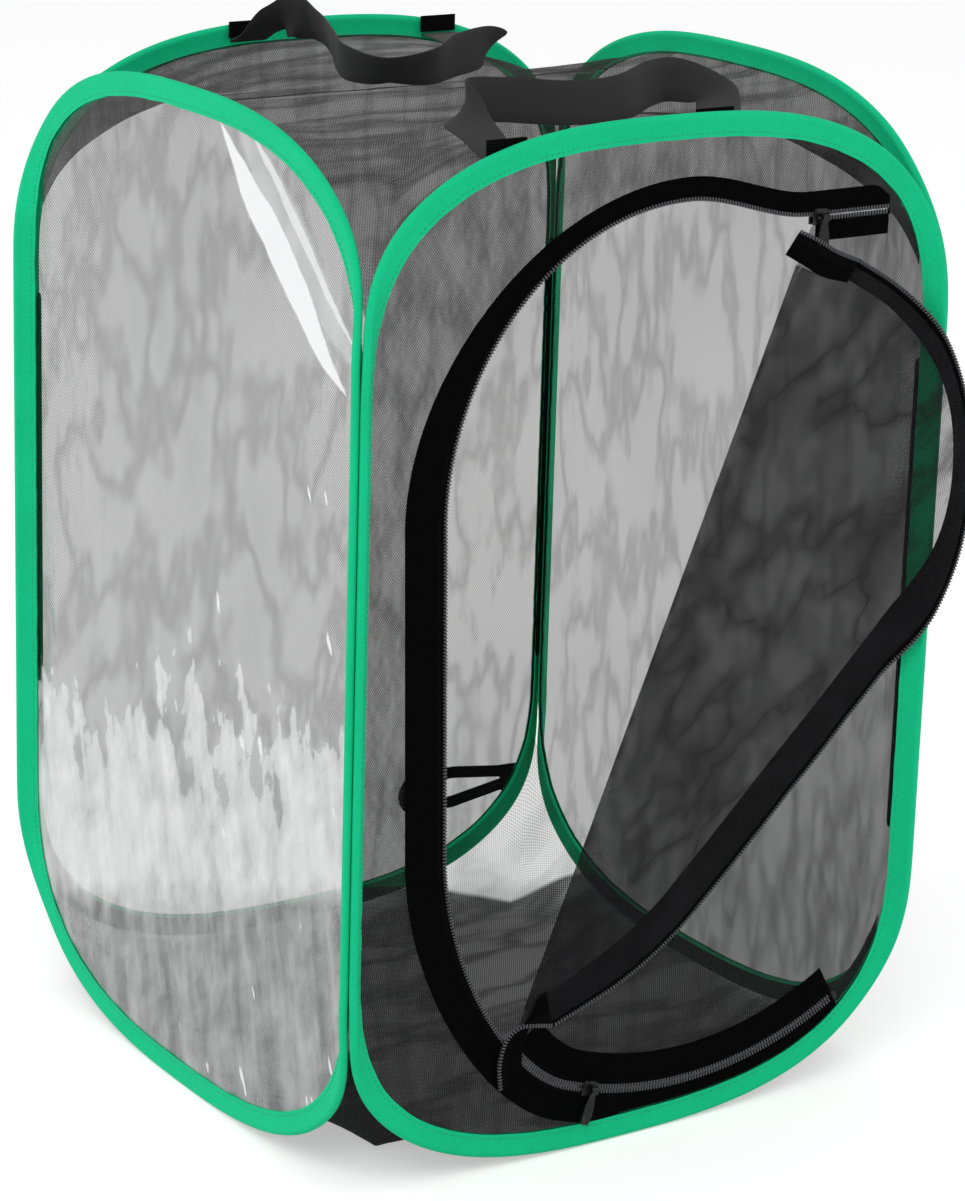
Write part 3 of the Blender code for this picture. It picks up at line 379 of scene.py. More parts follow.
class Paint:
    """The nodes of one material or world, and its shader."""

    def __init__(self, tree: NodeTree, shader: str = "Principled BSDF") -> None:
        """Take up the nodes.

        Args:
            tree: The nodes.
            shader: The name of the shader among them.
        """
        self.tree = tree
        self.shader = tree.nodes[shader]

    def put(self, value: object, slot: NodeSocket) -> None:
        """Link an input to a pattern or an output, or set its number.

        Args:
            value: What goes in.
            slot: The input.
        """
        if isinstance(value, Pattern):
            value = value.socket
        if isinstance(value, NodeSocket):
            self.tree.links.new(value, slot)
        else:
            slot.default_value = value

    def node(self, kind: str, **values: object) -> Node:
        """Add a node and set its properties and inputs.

        Args:
            kind: The node's type.
            values: Properties by name, and inputs by name.

        Returns:
            The node.
        """
        made = self.tree.nodes.new("ShaderNode" + kind)
        for key, value in values.items():
            if hasattr(made, key):
                setattr(made, key, value)
            else:
                self.put(value, made.inputs[key])
        return made

    def surface(self, **values: object) -> None:
        """Set inputs of the shader.

        Args:
            values: Inputs by name, with underscores for spaces.
        """
        for key, value in values.items():
            self.put(value, self.shader.inputs[key.replace("_", " ")])

    def cloth(self, solid: bool = False) -> tuple[NodeSocket, Pattern, Pattern]:
        """The piece's own cloth map, in metres along and across it.

        Args:
            solid: Whether it dresses a solid, which has no map: then height runs along the cloth.

        Returns:
            The whole coordinate, its run along the cloth and its place across it.
        """
        place = self.node("TexCoord").outputs["Object"] if solid else self.node("UVMap", uv_map="cloth").outputs[0]
        x, y, z = (Pattern(self.tree, part) for part in self.node("SeparateXYZ", Vector=place).outputs)
        return (place, z, x + y) if solid else (place, x, y)

    def grain(self, scale: float, detail: float = 2.0, vector: NodeSocket | None = None) -> Pattern:
        """Noise on the piece's Object coordinates, or on another vector.

        Args:
            scale: Noise scale per metre.
            detail: Noise detail.
            vector: The vector that it follows, or None for Object coordinates.

        Returns:
            The noise, in 0..1.
        """
        vector = vector or self.node("TexCoord").outputs["Object"]
        return Pattern(self.tree, self.node("TexNoise", Vector=vector, Scale=scale, Detail=detail).outputs[0])

    def mix(self, share: Pattern, low: Sequence[float], high: Sequence[float]) -> NodeSocket:
        """Blend two colours.

        Args:
            share: 0 for the first colour and 1 for the second.
            low: The first colour.
            high: The second colour.

        Returns:
            The blended colour.
        """
        ramp = self.node("ValToRGB", Fac=share)
        for element, colour in zip(ramp.color_ramp.elements, (low, high)):
            element.color = (*colour, 1.0)
        return ramp.outputs[0]

    def relief(self, height: Pattern, depth: float) -> NodeSocket:
        """Raise a surface by a pattern.

        Args:
            height: The pattern, in 0..1.
            depth: How deep 1 is, in metres.

        Returns:
            The surface's way at each place.
        """
        return self.node("Bump", Strength=1.0, Distance=depth, Height=height).outputs[0]

    def layered(self, share: Pattern, under: Node | NodeSocket, over: Node) -> NodeSocket:
        """Lay one shader over another.

        Args:
            share: How much of the upper one shows.
            under: The lower shader.
            over: The upper shader.

        Returns:
            The mixed shader.
        """
        made = self.node("MixShader")
        for value, slot in zip((share, under, over), made.inputs):
            self.put(value.outputs[0] if isinstance(value, Node) else value, slot)
        return made.outputs[0]

    def seen(self) -> Pattern:
        """1 on rays from the camera, straight, mirrored or through film, and 0 on the light's other ways."""
        rays = self.node("LightPath").outputs
        camera, glossy, through = (Pattern(self.tree, rays[f"Is {kind} Ray"])
                                   for kind in ("Camera", "Glossy", "Transmission"))
        return (camera + glossy + through).held()


@dataclass(frozen=True)
class Finish:
    """A material with a name, a colour and a roughness."""

    name: str
    colour: tuple[float, float, float]
    roughness: float = 0.6

    def build(self) -> Material:
        """Make the material, or return it if it was made before.

        Returns:
            The material.
        """
        found = bpy.data.materials.get(self.name)
        if found:
            return found
        made = bpy.data.materials.new(self.name)
        made.use_nodes = True
        paint = Paint(made.node_tree)
        paint.surface(Base_Color=(*self.colour, 1.0), Roughness=self.roughness)
        self.dress(paint)
        return made

    def between(self, paint: Paint, share: Pattern, dark: float, light: float) -> NodeSocket:
        """Colour that runs from one multiple of the finish's own colour to another.

        Args:
            paint: The material's nodes.
            share: 0 for the first and 1 for the second.
            dark: The first multiple.
            light: The second multiple.

        Returns:
            The colour.
        """
        return paint.mix(share, [c * dark for c in self.colour], [c * light for c in self.colour])

    def dress(self, paint: Paint) -> None:
        """Add the finish's own nodes.

        Args:
            paint: The material's nodes.
        """


@dataclass(frozen=True)
class RibbedTape(Finish):
    """Woven binding tape: fine ribs across it and a soft slub."""

    rib: float = 0.8 * MM
    shade: float = 0.75

    def dress(self, paint: Paint) -> None:
        """Add ribs, colour variation and relief."""
        weft = paint.cloth()[1].ribs(self.rib)
        slub = paint.grain(420.0, 3.0)
        tone = (weft * 0.35 + slub * 0.40 + paint.grain(22.0) * 0.35).held()
        paint.surface(Base_Color=self.between(paint, tone, self.shade, 2.0 - self.shade),
                      Normal=paint.relief(weft * 0.6 + slub * 0.5, 0.12 * MM), Specular_IOR_Level=0.12)


@dataclass(frozen=True)
class Netting(Finish):
    """Fine knitted net: threads on two slants with holes between them, denser in its creases; beyond a given line
    its cover can drop, which ends the floor's painted shade.
    """

    pitch: float = 1.3 * MM
    slant: tuple[float, float] = (0.82, 0.57)
    cover: float = 0.53
    knit: float = 0.32
    crease: float = 0.07
    crease_scale: float = 26.0
    crease_stretch: tuple[float, float] = (1.0, 0.30)
    slack: float = 0.08
    thin_beyond: tuple[float, float, float] | None = None
    thin_share: float = 0.48

    def dress(self, paint: Paint) -> None:
        """Add the knit's holes and the creases as see-through shares, and the drop in cover where painted shade
        ends.
        """
        place, along, across = paint.cloth()
        down, over = along * self.slant[0], across * self.slant[1]
        holes = (down + over).ribs(self.pitch) * (down - over).ribs(self.pitch) - 0.405
        drawn = paint.node("Mapping", Vector=place, Scale=(*self.crease_stretch, 1.0)).outputs[0]
        fold = abs(paint.grain(self.crease_scale, 4.0, drawn) - 0.5)
        sharp = (1.0 - fold * 14.0).held()
        loose = paint.grain(9.0, 1.0, place) - 0.5
        cover = sharp * self.crease - holes * self.knit + loose * self.slack + self.cover
        # Painted shade: before this line the cover stays high for the cage's shadow on the floor; beyond it the
        # cover drops by a share.
        if self.thin_beyond:
            a, b, c = self.thin_beyond
            cover -= ((along * a + across * b + c) * 250.0).held() * self.thin_share
        paint.surface(Alpha=cover.maths("MAXIMUM", 0.08).maths("MINIMUM", 0.97), Specular_IOR_Level=0.1)


@dataclass(frozen=True)
class ClearFilm(Finish):
    """Thin clear film: what is behind it shows, with a real gloss, and painted highlights, glints and a glare
    streak lie on its crinkles and slack foot.
    """

    # Place, way and length of the painted glare streak, a lamp's reflection painted on the film.
    streak_from: tuple[float, float] = (0.030, 0.585)
    streak_way: tuple[float, float] = (0.746, -0.667)
    streak_long: float = 0.192

    def crinkles(self, paint: Paint, scale: float, stretch: float, turn: float, detail: float) -> Pattern:
        """Noise drawn out along the film's height, or turned from it.

        Args:
            paint: The film's nodes.
            scale: Noise scale per metre across.
            stretch: Share of that scale up the film.
            turn: Angle in degrees.
            detail: Noise detail.

        Returns:
            The noise less its middle value.
        """
        turned_to = paint.node("Mapping", vector_type="TEXTURE", Vector=paint.cloth()[0],
                               Rotation=(0.0, 0.0, math.radians(turn)))
        drawn = paint.node("Mapping", Vector=turned_to.outputs[0], Scale=(1.0, stretch, 1.0))
        return paint.grain(scale, detail, drawn.outputs[0]) - 0.5

    def streak(self, x: Pattern, z: Pattern, wander: Pattern) -> Pattern:
        """The painted reflection of a lamp: bright bands across the film's upper corner, pointed at both ends.

        Args:
            x: Place across the film.
            z: Place up the film.
            wander: How far the bands stray from a straight line.

        Returns:
            1 on the brightest band and 0 off them.
        """
        way_x, way_z = self.streak_way
        x, z = x - self.streak_from[0], z - self.streak_from[1]
        share = (x * way_x + z * way_z) / self.streak_long
        across = z * way_x - x * way_z + wander
        taper = share * 4.0 * (1.0 - share)
        bands = [((taper * half - abs(across - middle)) / soft).held() * painted_brightness
                 for middle, half, soft, painted_brightness in ((0.003, 0.0115, 0.0015, 0.92), (0.027, 0.0045, 0.0015, 0.70),
                                                    (0.020, 0.0160, 0.0040, 0.28))]
        return bands[0].maths("MAXIMUM", bands[1]).maths("MAXIMUM", bands[2])

    def haze(self, paint: Paint) -> Pattern:
        """Share of painted white highlight on the crinkles and the slack foot of the film, with painted glints and
        the painted glare streak.

        Args:
            paint: The film's nodes.

        Returns:
            The share.
        """
        _, u, v = paint.cloth()
        x, z = u - 1.0, v - 1.0
        broad = self.crinkles(paint, 17.0, 0.55, 18.0, 5.0)
        small = self.crinkles(paint, 60.0, 0.6, -20.0, 3.0)
        upright = self.crinkles(paint, 70.0, 0.10, 12.0, 3.0)
        glint_noise = self.crinkles(paint, 75.0, 0.28, 22.0, 2.0)
        edge = x * 0.22 - z + broad * 0.26 + small * 0.16 + upright * 0.14 + 0.228
        # Painted highlight on the slack foot below a ragged crinkled edge, brighter lower down.
        slack = (edge / 0.008).held() * 0.55 + ((edge + 0.02) / 0.10).held() * 0.45
        foot = z - x * 0.35 - 0.112
        painted_brightness = ((foot + small * 0.02) / 0.02).held()
        level = painted_brightness * 0.30 + upright * 0.55 + small * 0.50 + 0.28
        # Painted glints: short white marks on the film's right and middle.
        where = ((x + 0.06) / 0.10).held() * ((0.47 - z) / 0.06).held()
        painted_glint = ((glint_noise - 0.185) / 0.02).held() * where * 0.85
        # Painted reflection of a lamp as a glare streak.
        glare = self.streak(x, z, broad * 0.016)
        return (slack * level).held().maths("MAXIMUM", glare).maths("MAXIMUM", painted_glint)

    def dress(self, paint: Paint) -> None:
        """Mix a see-through and a glossy shader by steepness, then lay a white shader over them as painted
        highlights.
        """
        paint.tree.nodes.remove(paint.shader)
        fine = paint.grain(90.0, 3.0, paint.cloth()[0])
        height = abs(self.crinkles(paint, 22.0, 0.35, 14.0, 6.0)) * 1.3 + fine * 0.06
        way = paint.relief(height, 2.2 * MM)
        clear = paint.node("BsdfTransparent", Color=(0.97, 0.97, 0.975, 1.0))
        gloss = paint.node("BsdfGlossy", Color=(1.0, 1.0, 1.0, 1.0), Roughness=0.07, Normal=way)
        # White diffuse shader used as painted highlight where the painted highlight mask is high.
        painted_highlight_white = paint.node("BsdfDiffuse", Color=(0.95, 0.95, 0.96, 1.0))
        steep = Pattern(paint.tree, paint.node("Fresnel", IOR=1.5, Normal=way).outputs[0])
        glossed = paint.layered((steep * 0.60).held(), clear, gloss)
        paint.put(paint.layered(self.haze(paint), glossed, painted_highlight_white), paint.tree.nodes["Material Output"].inputs[0])


@dataclass(frozen=True)
class WovenFacing(Finish):
    """Black facing cloth, with the zip's paler woven tape beside the teeth."""

    zip_edge: float = 6.2 * MM
    solid: bool = False

    def dress(self, paint: Paint) -> None:
        """Add a plain weave, the paler edge and a line of topstitching."""
        _, along, across = paint.cloth(self.solid)
        weave = along.ribs(0.7 * MM) * across.ribs(0.7 * MM)
        tone = (weave * 0.5 + paint.grain(260.0, 3.0) * 0.4).held()
        blend = paint.node("Mix", data_type="RGBA", Factor=across.maths("LESS_THAN", self.zip_edge))
        for slot, dark, light in ((6, 0.55, 1.7), (7, 0.9, 3.0)):
            paint.put(self.between(paint, tone, dark, light), blend.inputs[slot])
        line = abs(across - (self.zip_edge + 0.8 * MM)).maths("LESS_THAN", 0.3 * MM)
        stitch = line * along.ribs(3.0 * MM).maths("GREATER_THAN", 0.45)
        height = weave + stitch * 1.2 + paint.grain(60.0) * 1.5
        paint.surface(Base_Color=blend.outputs[2], Normal=paint.relief(height, 0.2 * MM), Specular_IOR_Level=0.02)


@dataclass(frozen=True)
class Webbing(Finish):
    """Strong ribbed webbing: cross ribs between two flat selvedges."""

    rib: float = 1.7 * MM
    warp: float = 1.1 * MM
    solid: bool = False

    def dress(self, paint: Paint) -> None:
        """Add cross ribs, warp threads and a slight bloom."""
        _, along, across = paint.cloth(self.solid)
        weave = along.ribs(self.rib) * 0.7 + across.ribs(self.warp) * 0.3
        tone = (weave * 0.75 + paint.grain(300.0) * 0.35).held()
        paint.surface(Base_Color=self.between(paint, tone, 0.35, 2.4), Normal=paint.relief(weave, 0.5 * MM),
                      Specular_IOR_Level=0.01)


@dataclass(frozen=True)
class PaintedMetal(Finish):
    """Black painted zip metal, worn a little brighter on its high spots."""

    worn: tuple[float, float, float] = (0.10, 0.10, 0.105)

    def dress(self, paint: Paint) -> None:
        """Add wear and a fine orange peel."""
        wear = paint.grain(240.0, 4.0)
        mask = ((wear - 0.55) * 5.0).held()
        paint.surface(Base_Color=paint.mix(mask, self.colour, self.worn), Metallic=0.6,
                      Roughness=wear * 0.25 + (self.roughness - 0.1),
                      Normal=paint.relief(paint.grain(900.0, 1.0), 0.05 * MM))


@dataclass(frozen=True)
class FineMarks(Finish):
    """An even surface with fine marks: drawn wire, twisted thread or moulded coil."""

    scale: float = 500.0
    detail: float = 2.0
    shades: tuple[float, float] = (0.6, 1.0)
    depth: float = 0.04 * MM
    metallic: float = 0.0

    def dress(self, paint: Paint) -> None:
        """Add the marks."""
        marks = paint.grain(self.scale, self.detail)
        paint.surface(Base_Color=self.between(paint, marks, *self.shades), Metallic=self.metallic,
                      Normal=paint.relief(marks, self.depth))


GREEN_TAPE = RibbedTape("green_binding_tape", (0.005, 0.560, 0.255), 0.7)
GREEN_THREAD = FineMarks("green_thread", (0.006, 0.44, 0.21), 0.6, 1500.0, 1.0, depth=0.05 * MM)
SIDE_NET = Netting("side_net", (0.014, 0.014, 0.015), 0.9, cover=0.565, crease=0.12, crease_scale=32.0)
DOOR_NET = Netting("door_net_finish", (0.014, 0.014, 0.015), 0.9, cover=0.60, crease=0.11, crease_scale=30.0)
FLAP_NET = Netting("flap_net_finish", (0.010, 0.010, 0.011), 0.9, cover=0.66, crease=0.20, crease_scale=24.0,
                   crease_stretch=(0.8, 0.45))
ROOF_NET = Netting("roof_net_finish", (0.022, 0.021, 0.022), 0.9, cover=0.64, crease=0.22,
                   crease_scale=18.0, crease_stretch=(0.25, 1.0))
# The floor net's high cover is painted shade for the cage's shadow on the ground; beyond a line, where the net
# rises to its seam at the back, it drops.
FLOOR_NET = Netting("floor_net_finish", (0.012, 0.012, 0.013), 0.9, cover=0.85, crease=0.12, crease_scale=20.0,
                    crease_stretch=(0.4, 1.0), thin_beyond=(0.56, 1.0, -1.7734), thin_share=0.50)
FILM = ClearFilm("clear_window_film", (0.9, 0.9, 0.9), 0.1)
FACING = WovenFacing("black_facing", (0.0016, 0.0016, 0.0017), 0.85)
SEAM_CLOTH = WovenFacing("rolled_seam_cloth", (0.005, 0.005, 0.0055), 0.85, zip_edge=-1.0, solid=True)
WEBBING = Webbing("black_webbing", (0.0028, 0.0028, 0.0030), 0.85)
SEWN_WEBBING = Webbing("black_sewn_webbing", (0.0028, 0.0028, 0.0030), 0.85, solid=True)
ZIP_METAL = PaintedMetal("black_zip_metal", (0.008, 0.008, 0.0085), 0.42, (0.05, 0.05, 0.053))
WIRE = FineMarks("spring_wire", (0.50, 0.51, 0.53), 0.35, 500.0, shades=(0.7, 1.0), depth=0.03 * MM, metallic=1.0)
# The coil's colour is lifted far above the black facing, with lighter marks, as painted sheen for the teeth's
# glints.
COIL = FineMarks("zip_coil", (0.040, 0.040, 0.044), 0.38, 700.0, shades=(0.6, 1.8))


# Making pieces


def select_only(obj: Object) -> None:
    """Make a piece the only selected and the active one."""
    bpy.ops.object.select_all(action="DESELECT")
    obj.select_set(True)
    bpy.context.view_layer.objects.active = obj


def finish_piece(obj: Object, name: str, finish: Finish, smooth: float) -> Object:
    """Name, dress and shade a piece.

    Args:
        obj: The piece.
        name: Its name.
        finish: Its finish.
        smooth: Angle in degrees under which edges are shaded smooth.

    Returns:
        The same piece.
    """
    obj.name = name
    obj.data.name = name
    obj.data.materials.clear()
    obj.data.materials.append(finish.build())
    select_only(obj)
    bpy.ops.object.shade_smooth_by_angle(angle=math.radians(smooth))
    return obj


def new_piece(mesh: bpy.types.Mesh, name: str, finish: Finish, smooth: float = 50.0) -> Object:
    """Put a finished mesh in the scene.

    Args:
        mesh: The mesh.
        name: The piece's name.
        finish: Its finish.
        smooth: Angle in degrees under which edges are shaded smooth.

    Returns:
        The piece.
    """
    obj = bpy.data.objects.new(name, mesh)
    bpy.context.scene.collection.objects.link(obj)
    return finish_piece(obj, name, finish, smooth)


def join(obj: Object, body: str, slot: str, *solids: str) -> Object:
    """Let a piece ride on a body and stand for its solids.

    Args:
        obj: The piece.
        body: The body that it moves with.
        slot: Not used.
        solids: The solids that it replaces.

    Returns:
        The same piece.
    """
    if solids:
        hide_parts(*solids)
    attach(obj, body)
    return obj


def set_points(obj: Object, points: np.ndarray) -> None:
    """Place all of a piece's vertices.

    Args:
        obj: The piece.
        points: One row of three numbers for each vertex.
    """
    obj.data.vertices.foreach_set("co", np.asarray(points, np.float32).ravel())
    obj.data.update()


def set_cloth_map(obj: Object, flat: np.ndarray) -> None:
    """Give a piece its cloth map, from a place on the cloth for each vertex.

    Args:
        obj: The piece.
        flat: One row of two numbers, in metres, for each vertex.
    """
    while obj.data.uv_layers:
        obj.data.uv_layers.remove(obj.data.uv_layers[0])
    layer = obj.data.uv_layers.new(name="cloth")
    index = np.zeros(len(obj.data.loops), np.int32)
    obj.data.loops.foreach_get("vertex_index", index)
    layer.data.foreach_set("uv", np.asarray(flat, np.float32)[index].ravel())


def swept(name: str, rings: Sequence[Sequence[Vector]], runs: Sequence[float], widths: Sequence[float],
          finish: Finish, closed_section: bool = True, smooth: float = 50.0) -> Object:
    """A strip of cloth swept through rings of points, capped at its ends.

    Args:
        name: The piece's name.
        rings: Rings of equal length, in order.
        runs: Distance along the strip at each ring.
        widths: Distance round the section at each point, with one more for its closing edge.
        finish: Its finish.
        closed_section: Whether each ring closes on itself.
        smooth: Angle in degrees under which edges are shaded smooth.

    Returns:
        The piece.
    """
    mesh = bpy.data.meshes.new(name)
    build = bmesh.new()
    rows = [[build.verts.new(p) for p in ring] for ring in rings]
    layer = build.loops.layers.uv.new("cloth")
    count = len(rows[0])
    for r in range(len(rows) - 1):
        for i in range(count if closed_section else count - 1):
            j = (i + 1) % count
            face = build.faces.new((rows[r][i], rows[r][j], rows[r + 1][j], rows[r + 1][i]))
            places = ((runs[r], widths[i]), (runs[r], widths[i + 1]),
                      (runs[r + 1], widths[i + 1]), (runs[r + 1], widths[i]))
            for loop, place in zip(face.loops, places):
                loop[layer].uv = place
    if closed_section:
        for row, run in ((rows[0], runs[0]), (rows[-1], runs[-1])):
            for loop, width in zip(build.faces.new(row).loops, widths):
                loop[layer].uv = (run, width)
    bmesh.ops.recalc_face_normals(build, faces=build.faces)
    build.to_mesh(mesh)
    build.free()
    return new_piece(mesh, name, finish, smooth)


def pulled_in(flat: np.ndarray, keep: np.ndarray, edges: np.ndarray, faces: np.ndarray,
              inside: Callable[[np.ndarray], np.ndarray]) -> np.ndarray:
    """Draw the first points beyond a sheet's outline in to that outline.

    Args:
        flat: The grid's flat points, which are changed.
        keep: Which of them are on the sheet.
        edges: The grid's edges.
        faces: Its faces that are kept.
        inside: Says for each flat point whether it is on the sheet.

    Returns:
        The flat points.
    """
    anchor = np.full(len(flat), -1)
    for a, b in ((edges[:, 0], edges[:, 1]), (edges[:, 1], edges[:, 0])):
        hit = keep[a] & ~keep[b]
        anchor[b[hit]] = a[hit]
    for face in faces:
        within = [v for v in face if keep[v]]
        for v in face:
            if not keep[v] and anchor[v] < 0:
                anchor[v] = within[0]
    moved = np.where(anchor >= 0)[0]
    low, high = flat[anchor[moved]], flat[moved]
    for _ in range(HALVINGS):
        middle = (low + high) / 2
        here = inside(middle)[:, None]
        low, high = np.where(here, middle, low), np.where(here, high, middle)
    flat[moved] = low
    return flat


def cut_sheet(name: str, span: tuple[float, float, float, float], cell: float,
              inside: Callable[[np.ndarray], np.ndarray], lay: Callable[[np.ndarray], np.ndarray],
              finish: Finish) -> Object:
    """A sheet cut to an outline on the flat, then laid in its place.

    Args:
        name: The piece's name.
        span: The flat rectangle that holds it, as x low, x high, z low, z high.
        cell: Size of its cells.
        inside: Says for each flat point whether it is on the sheet.
        lay: Takes flat points to their places.
        finish: Its finish.

    Returns:
        The piece, one layer thick, with its cloth map.
    """
    x_low, x_high, z_low, z_high = span
    bpy.ops.object.select_all(action="DESELECT")
    bpy.ops.mesh.primitive_grid_add(x_subdivisions=max(2, round((x_high - x_low) / cell)),
                                    y_subdivisions=max(2, round((z_high - z_low) / cell)), size=1.0,
                                    location=(0.0, 0.0, 0.0))
    obj = bpy.context.object
    mesh = obj.data
    start = np.zeros(len(mesh.vertices) * 3, np.float32)
    mesh.vertices.foreach_get("co", start)
    start = start.reshape(-1, 3).astype(float)
    flat = np.stack([x_low + (start[:, 0] + 0.5) * (x_high - x_low),
                     z_low + (start[:, 1] + 0.5) * (z_high - z_low)], axis=1)
    keep = inside(flat)
    edges = np.array([tuple(e.vertices) for e in mesh.edges])
    faces = np.array([tuple(p.vertices) for p in mesh.polygons])
    kept_faces = keep[faces].any(axis=1)
    flat = pulled_in(flat, keep, edges, faces[kept_faces], inside)
    set_points(obj, lay(flat))
    set_cloth_map(obj, flat + 1.0)
    build = bmesh.new()
    build.from_mesh(mesh)
    build.faces.ensure_lookup_table()
    bmesh.ops.delete(build, geom=[build.faces[i] for i in np.where(~kept_faces)[0]], context="FACES")
    bmesh.ops.delete(build, geom=[v for v in build.verts if not v.link_faces], context="VERTS")
    build.to_mesh(mesh)
    build.free()
    return finish_piece(obj, name, finish, 180.0)


def cloth_area(obj: Object) -> float:
    """Area of the flat cut that a sheet was laid from.

    Args:
        obj: The sheet, with its cloth map.

    Returns:
        The area in square metres.
    """
    layer = obj.data.uv_layers["cloth"].data
    total = 0.0
    for face in obj.data.polygons:
        corners = [layer[i].uv for i in face.loop_indices]
        for a, b in zip(corners, corners[1:] + corners[:1]):
            total += (a.x * b.y - b.x * a.y) / 2
    return abs(total)


def repeated(name: str, pattern: Object, places: Sequence[Matrix], finish: Finish) -> Object:
    """Copies of one modelled piece, joined as one mesh.

    Args:
        name: The new piece's name.
        pattern: The piece that is copied, which is removed.
        places: Where each copy goes.
        finish: Its finish.

    Returns:
        The joined piece.
    """
    verts = np.array([v.co for v in pattern.data.vertices])
    faces = [tuple(p.vertices) for p in pattern.data.polygons]
    points = [verts @ np.array(place.to_3x3()).T + np.array(place.translation) for place in places]
    polygons = [tuple(i + k * len(verts) for i in face) for k in range(len(places)) for face in faces]
    mesh = bpy.data.meshes.new(name)
    mesh.from_pydata(np.concatenate(points).tolist(), [], polygons)
    bpy.data.objects.remove(pattern, do_unlink=True)
    return new_piece(mesh, name, finish)


def frame_along(point: Vector, tangent: Vector, out: Vector = OUTWARDS) -> Matrix:
    """A placing with X along a tangent and Y along an outward way.

    Args:
        point: Where its middle goes.
        tangent: Direction of its X axis.
        out: About the direction of its Y axis.

    Returns:
        The placing.
    """
    x = tangent.normalized()
    y = (out - x * out.dot(x)).normalized()
    turn = Matrix((x, y, x.cross(y))).transposed().to_4x4()
    return Matrix.Translation(point) @ turn


# Binding loops


@dataclass
class BindingLoop:
    """One side's folded green tape, with its stitching and its spring wire, in two halves."""

    side: Side
    stitch_pitch: float = 3.4 * MM
    stitch_long: float = 2.2 * MM
    stitch_thick: float = 0.45 * MM
    stitch_u: float = 2.4 * MM
    pucker: float = 0.45 * MM
    bend_reach: float = 16.0 * MM
    ferrule_half: float = 6.3 * MM
    wire_step: float = 0.8 * MM
    width_station: int = 40

    def half_name(self, kind: str, sign: int) -> str:
        """Name of a piece of one half.

        Args:
            kind: What the piece is.
            sign: 1 for the half at +x, -1 for the half at -x.

        Returns:
            The name.
        """
        return f"{self.side.title}_{kind}_{'right' if sign > 0 else 'left'}_half"

    def section(self, station: Station, sign: int) -> list[Vector]:
        """Outline of the folded tape at a station, with its puckers.

        Args:
            station: The place on the loop.
            sign: Which half it is on.

        Returns:
            The section's points, round the outside and back through the inside.
        """
        seed = 7.0 * self.side.value + 40.0 * sign
        wave = hashed(station.run * 95.0, seed) + 0.6 * hashed(station.run * 230.0, seed + 9.0)
        edge = hashed(station.run * 60.0, seed + 21.0) * self.pucker
        wide, wire, hollow = CAGE.tape, CAGE.wire_u, CAGE.hollow
        lip, bulge, mouth = CAGE.half_edge, CAGE.half_bulge, CAGE.half_mouth
        shape = ((0.0, lip), (0.10, lip * 1.03), (0.20, lip * 0.96), (0.32, lip * 1.08), (0.48, lip * 1.22),
                 (0.64, lip * 1.42), (0.76, bulge * 0.94), (0.86, bulge * 0.98), (0.94, bulge * 0.74),
                 (0.985, bulge * 0.36))
        outline = [(wide * share, -v) for share, v in shape] + [(wide, 0.0)]
        outline += [(wide * share, v) for share, v in reversed(shape)]
        outline += [(0.0, mouth), (wire - hollow, mouth), (wire, hollow), (wire + hollow, 0.0), (wire, -hollow),
                    (wire - hollow, -mouth), (0.0, -mouth)]
        points = []
        for u, v in outline:
            fade = 1.0 - smoothstep(u / wide / 0.75)
            points.append(station.point(u + edge * fade, v + wave * self.pucker * fade * 0.7))
        return points

    def tape_half(self, sign: int) -> Object:
        """The folded tape of one half.

        Args:
            sign: 1 for the half at +x, -1 for the half at -x.

        Returns:
            The piece.
        """
        stations = half_loop(sign)
        rings = [self.section(s, sign) for s in stations]
        widths = [0.0]
        sample = rings[self.width_station]
        for a, b in zip(sample, sample[1:] + sample[:1]):
            widths.append(widths[-1] + (b - a).length)
        return swept(self.half_name("tape", sign), rings, [s.run for s in stations], widths, GREEN_TAPE)

    def stitch_pattern(self) -> Object:
        """One sewn stitch: a low bead, longer than wide.

        Returns:
            The pattern piece.
        """
        bpy.ops.object.select_all(action="DESELECT")
        bpy.ops.mesh.primitive_uv_sphere_add(segments=6, ring_count=4, radius=0.5,
                                             rotation=(0.0, math.pi / 2, 0.0))
        obj = bpy.context.object
        bpy.ops.object.transform_apply(location=True, rotation=True, scale=True)
        obj.data.transform(Matrix.Diagonal((self.stitch_long, self.stitch_thick, self.stitch_thick, 1.0)))
        return obj

    def stitches(self, sign: int) -> Object:
        """The line of stitches on both faces of one half.

        Args:
            sign: Which half it is.

        Returns:
            The piece.
        """
        stations = half_loop(sign, self.stitch_pitch)
        places = []
        for face in (-1, 1):
            for a, b in zip(stations, stations[1:]):
                v = face * (CAGE.half_edge + self.stitch_thick * 0.15)
                first = a.point(self.stitch_u, v)
                second = b.point(self.stitch_u, v)
                out = a.point(self.stitch_u, v + face) - first
                places.append(frame_along((first + second) / 2, second - first, out))
        return repeated(self.half_name("stitches", sign), self.stitch_pattern(), places, GREEN_THREAD)

    def wire_half(self, sign: int) -> Object:
        """The spring wire of one half, as far as the ferrule at the bottom.

        Args:
            sign: Which half it is.

        Returns:
            The piece.
        """
        stations = [s for s in half_loop(sign) if s.z > CAGE.height / 2 or abs(s.x) > self.ferrule_half]
        radius, sides = CAGE.wire / 2, 8
        turns = [2 * math.pi * k / sides for k in range(sides)]
        rings = [[s.point(CAGE.wire_u + radius * math.cos(a), radius * math.sin(a)) for a in turns]
                 for s in stations]
        widths = [self.wire_step * k for k in range(sides + 1)]
        return swept(self.half_name("wire", sign), rings, [s.run for s in stations], widths, WIRE, smooth=60.0)

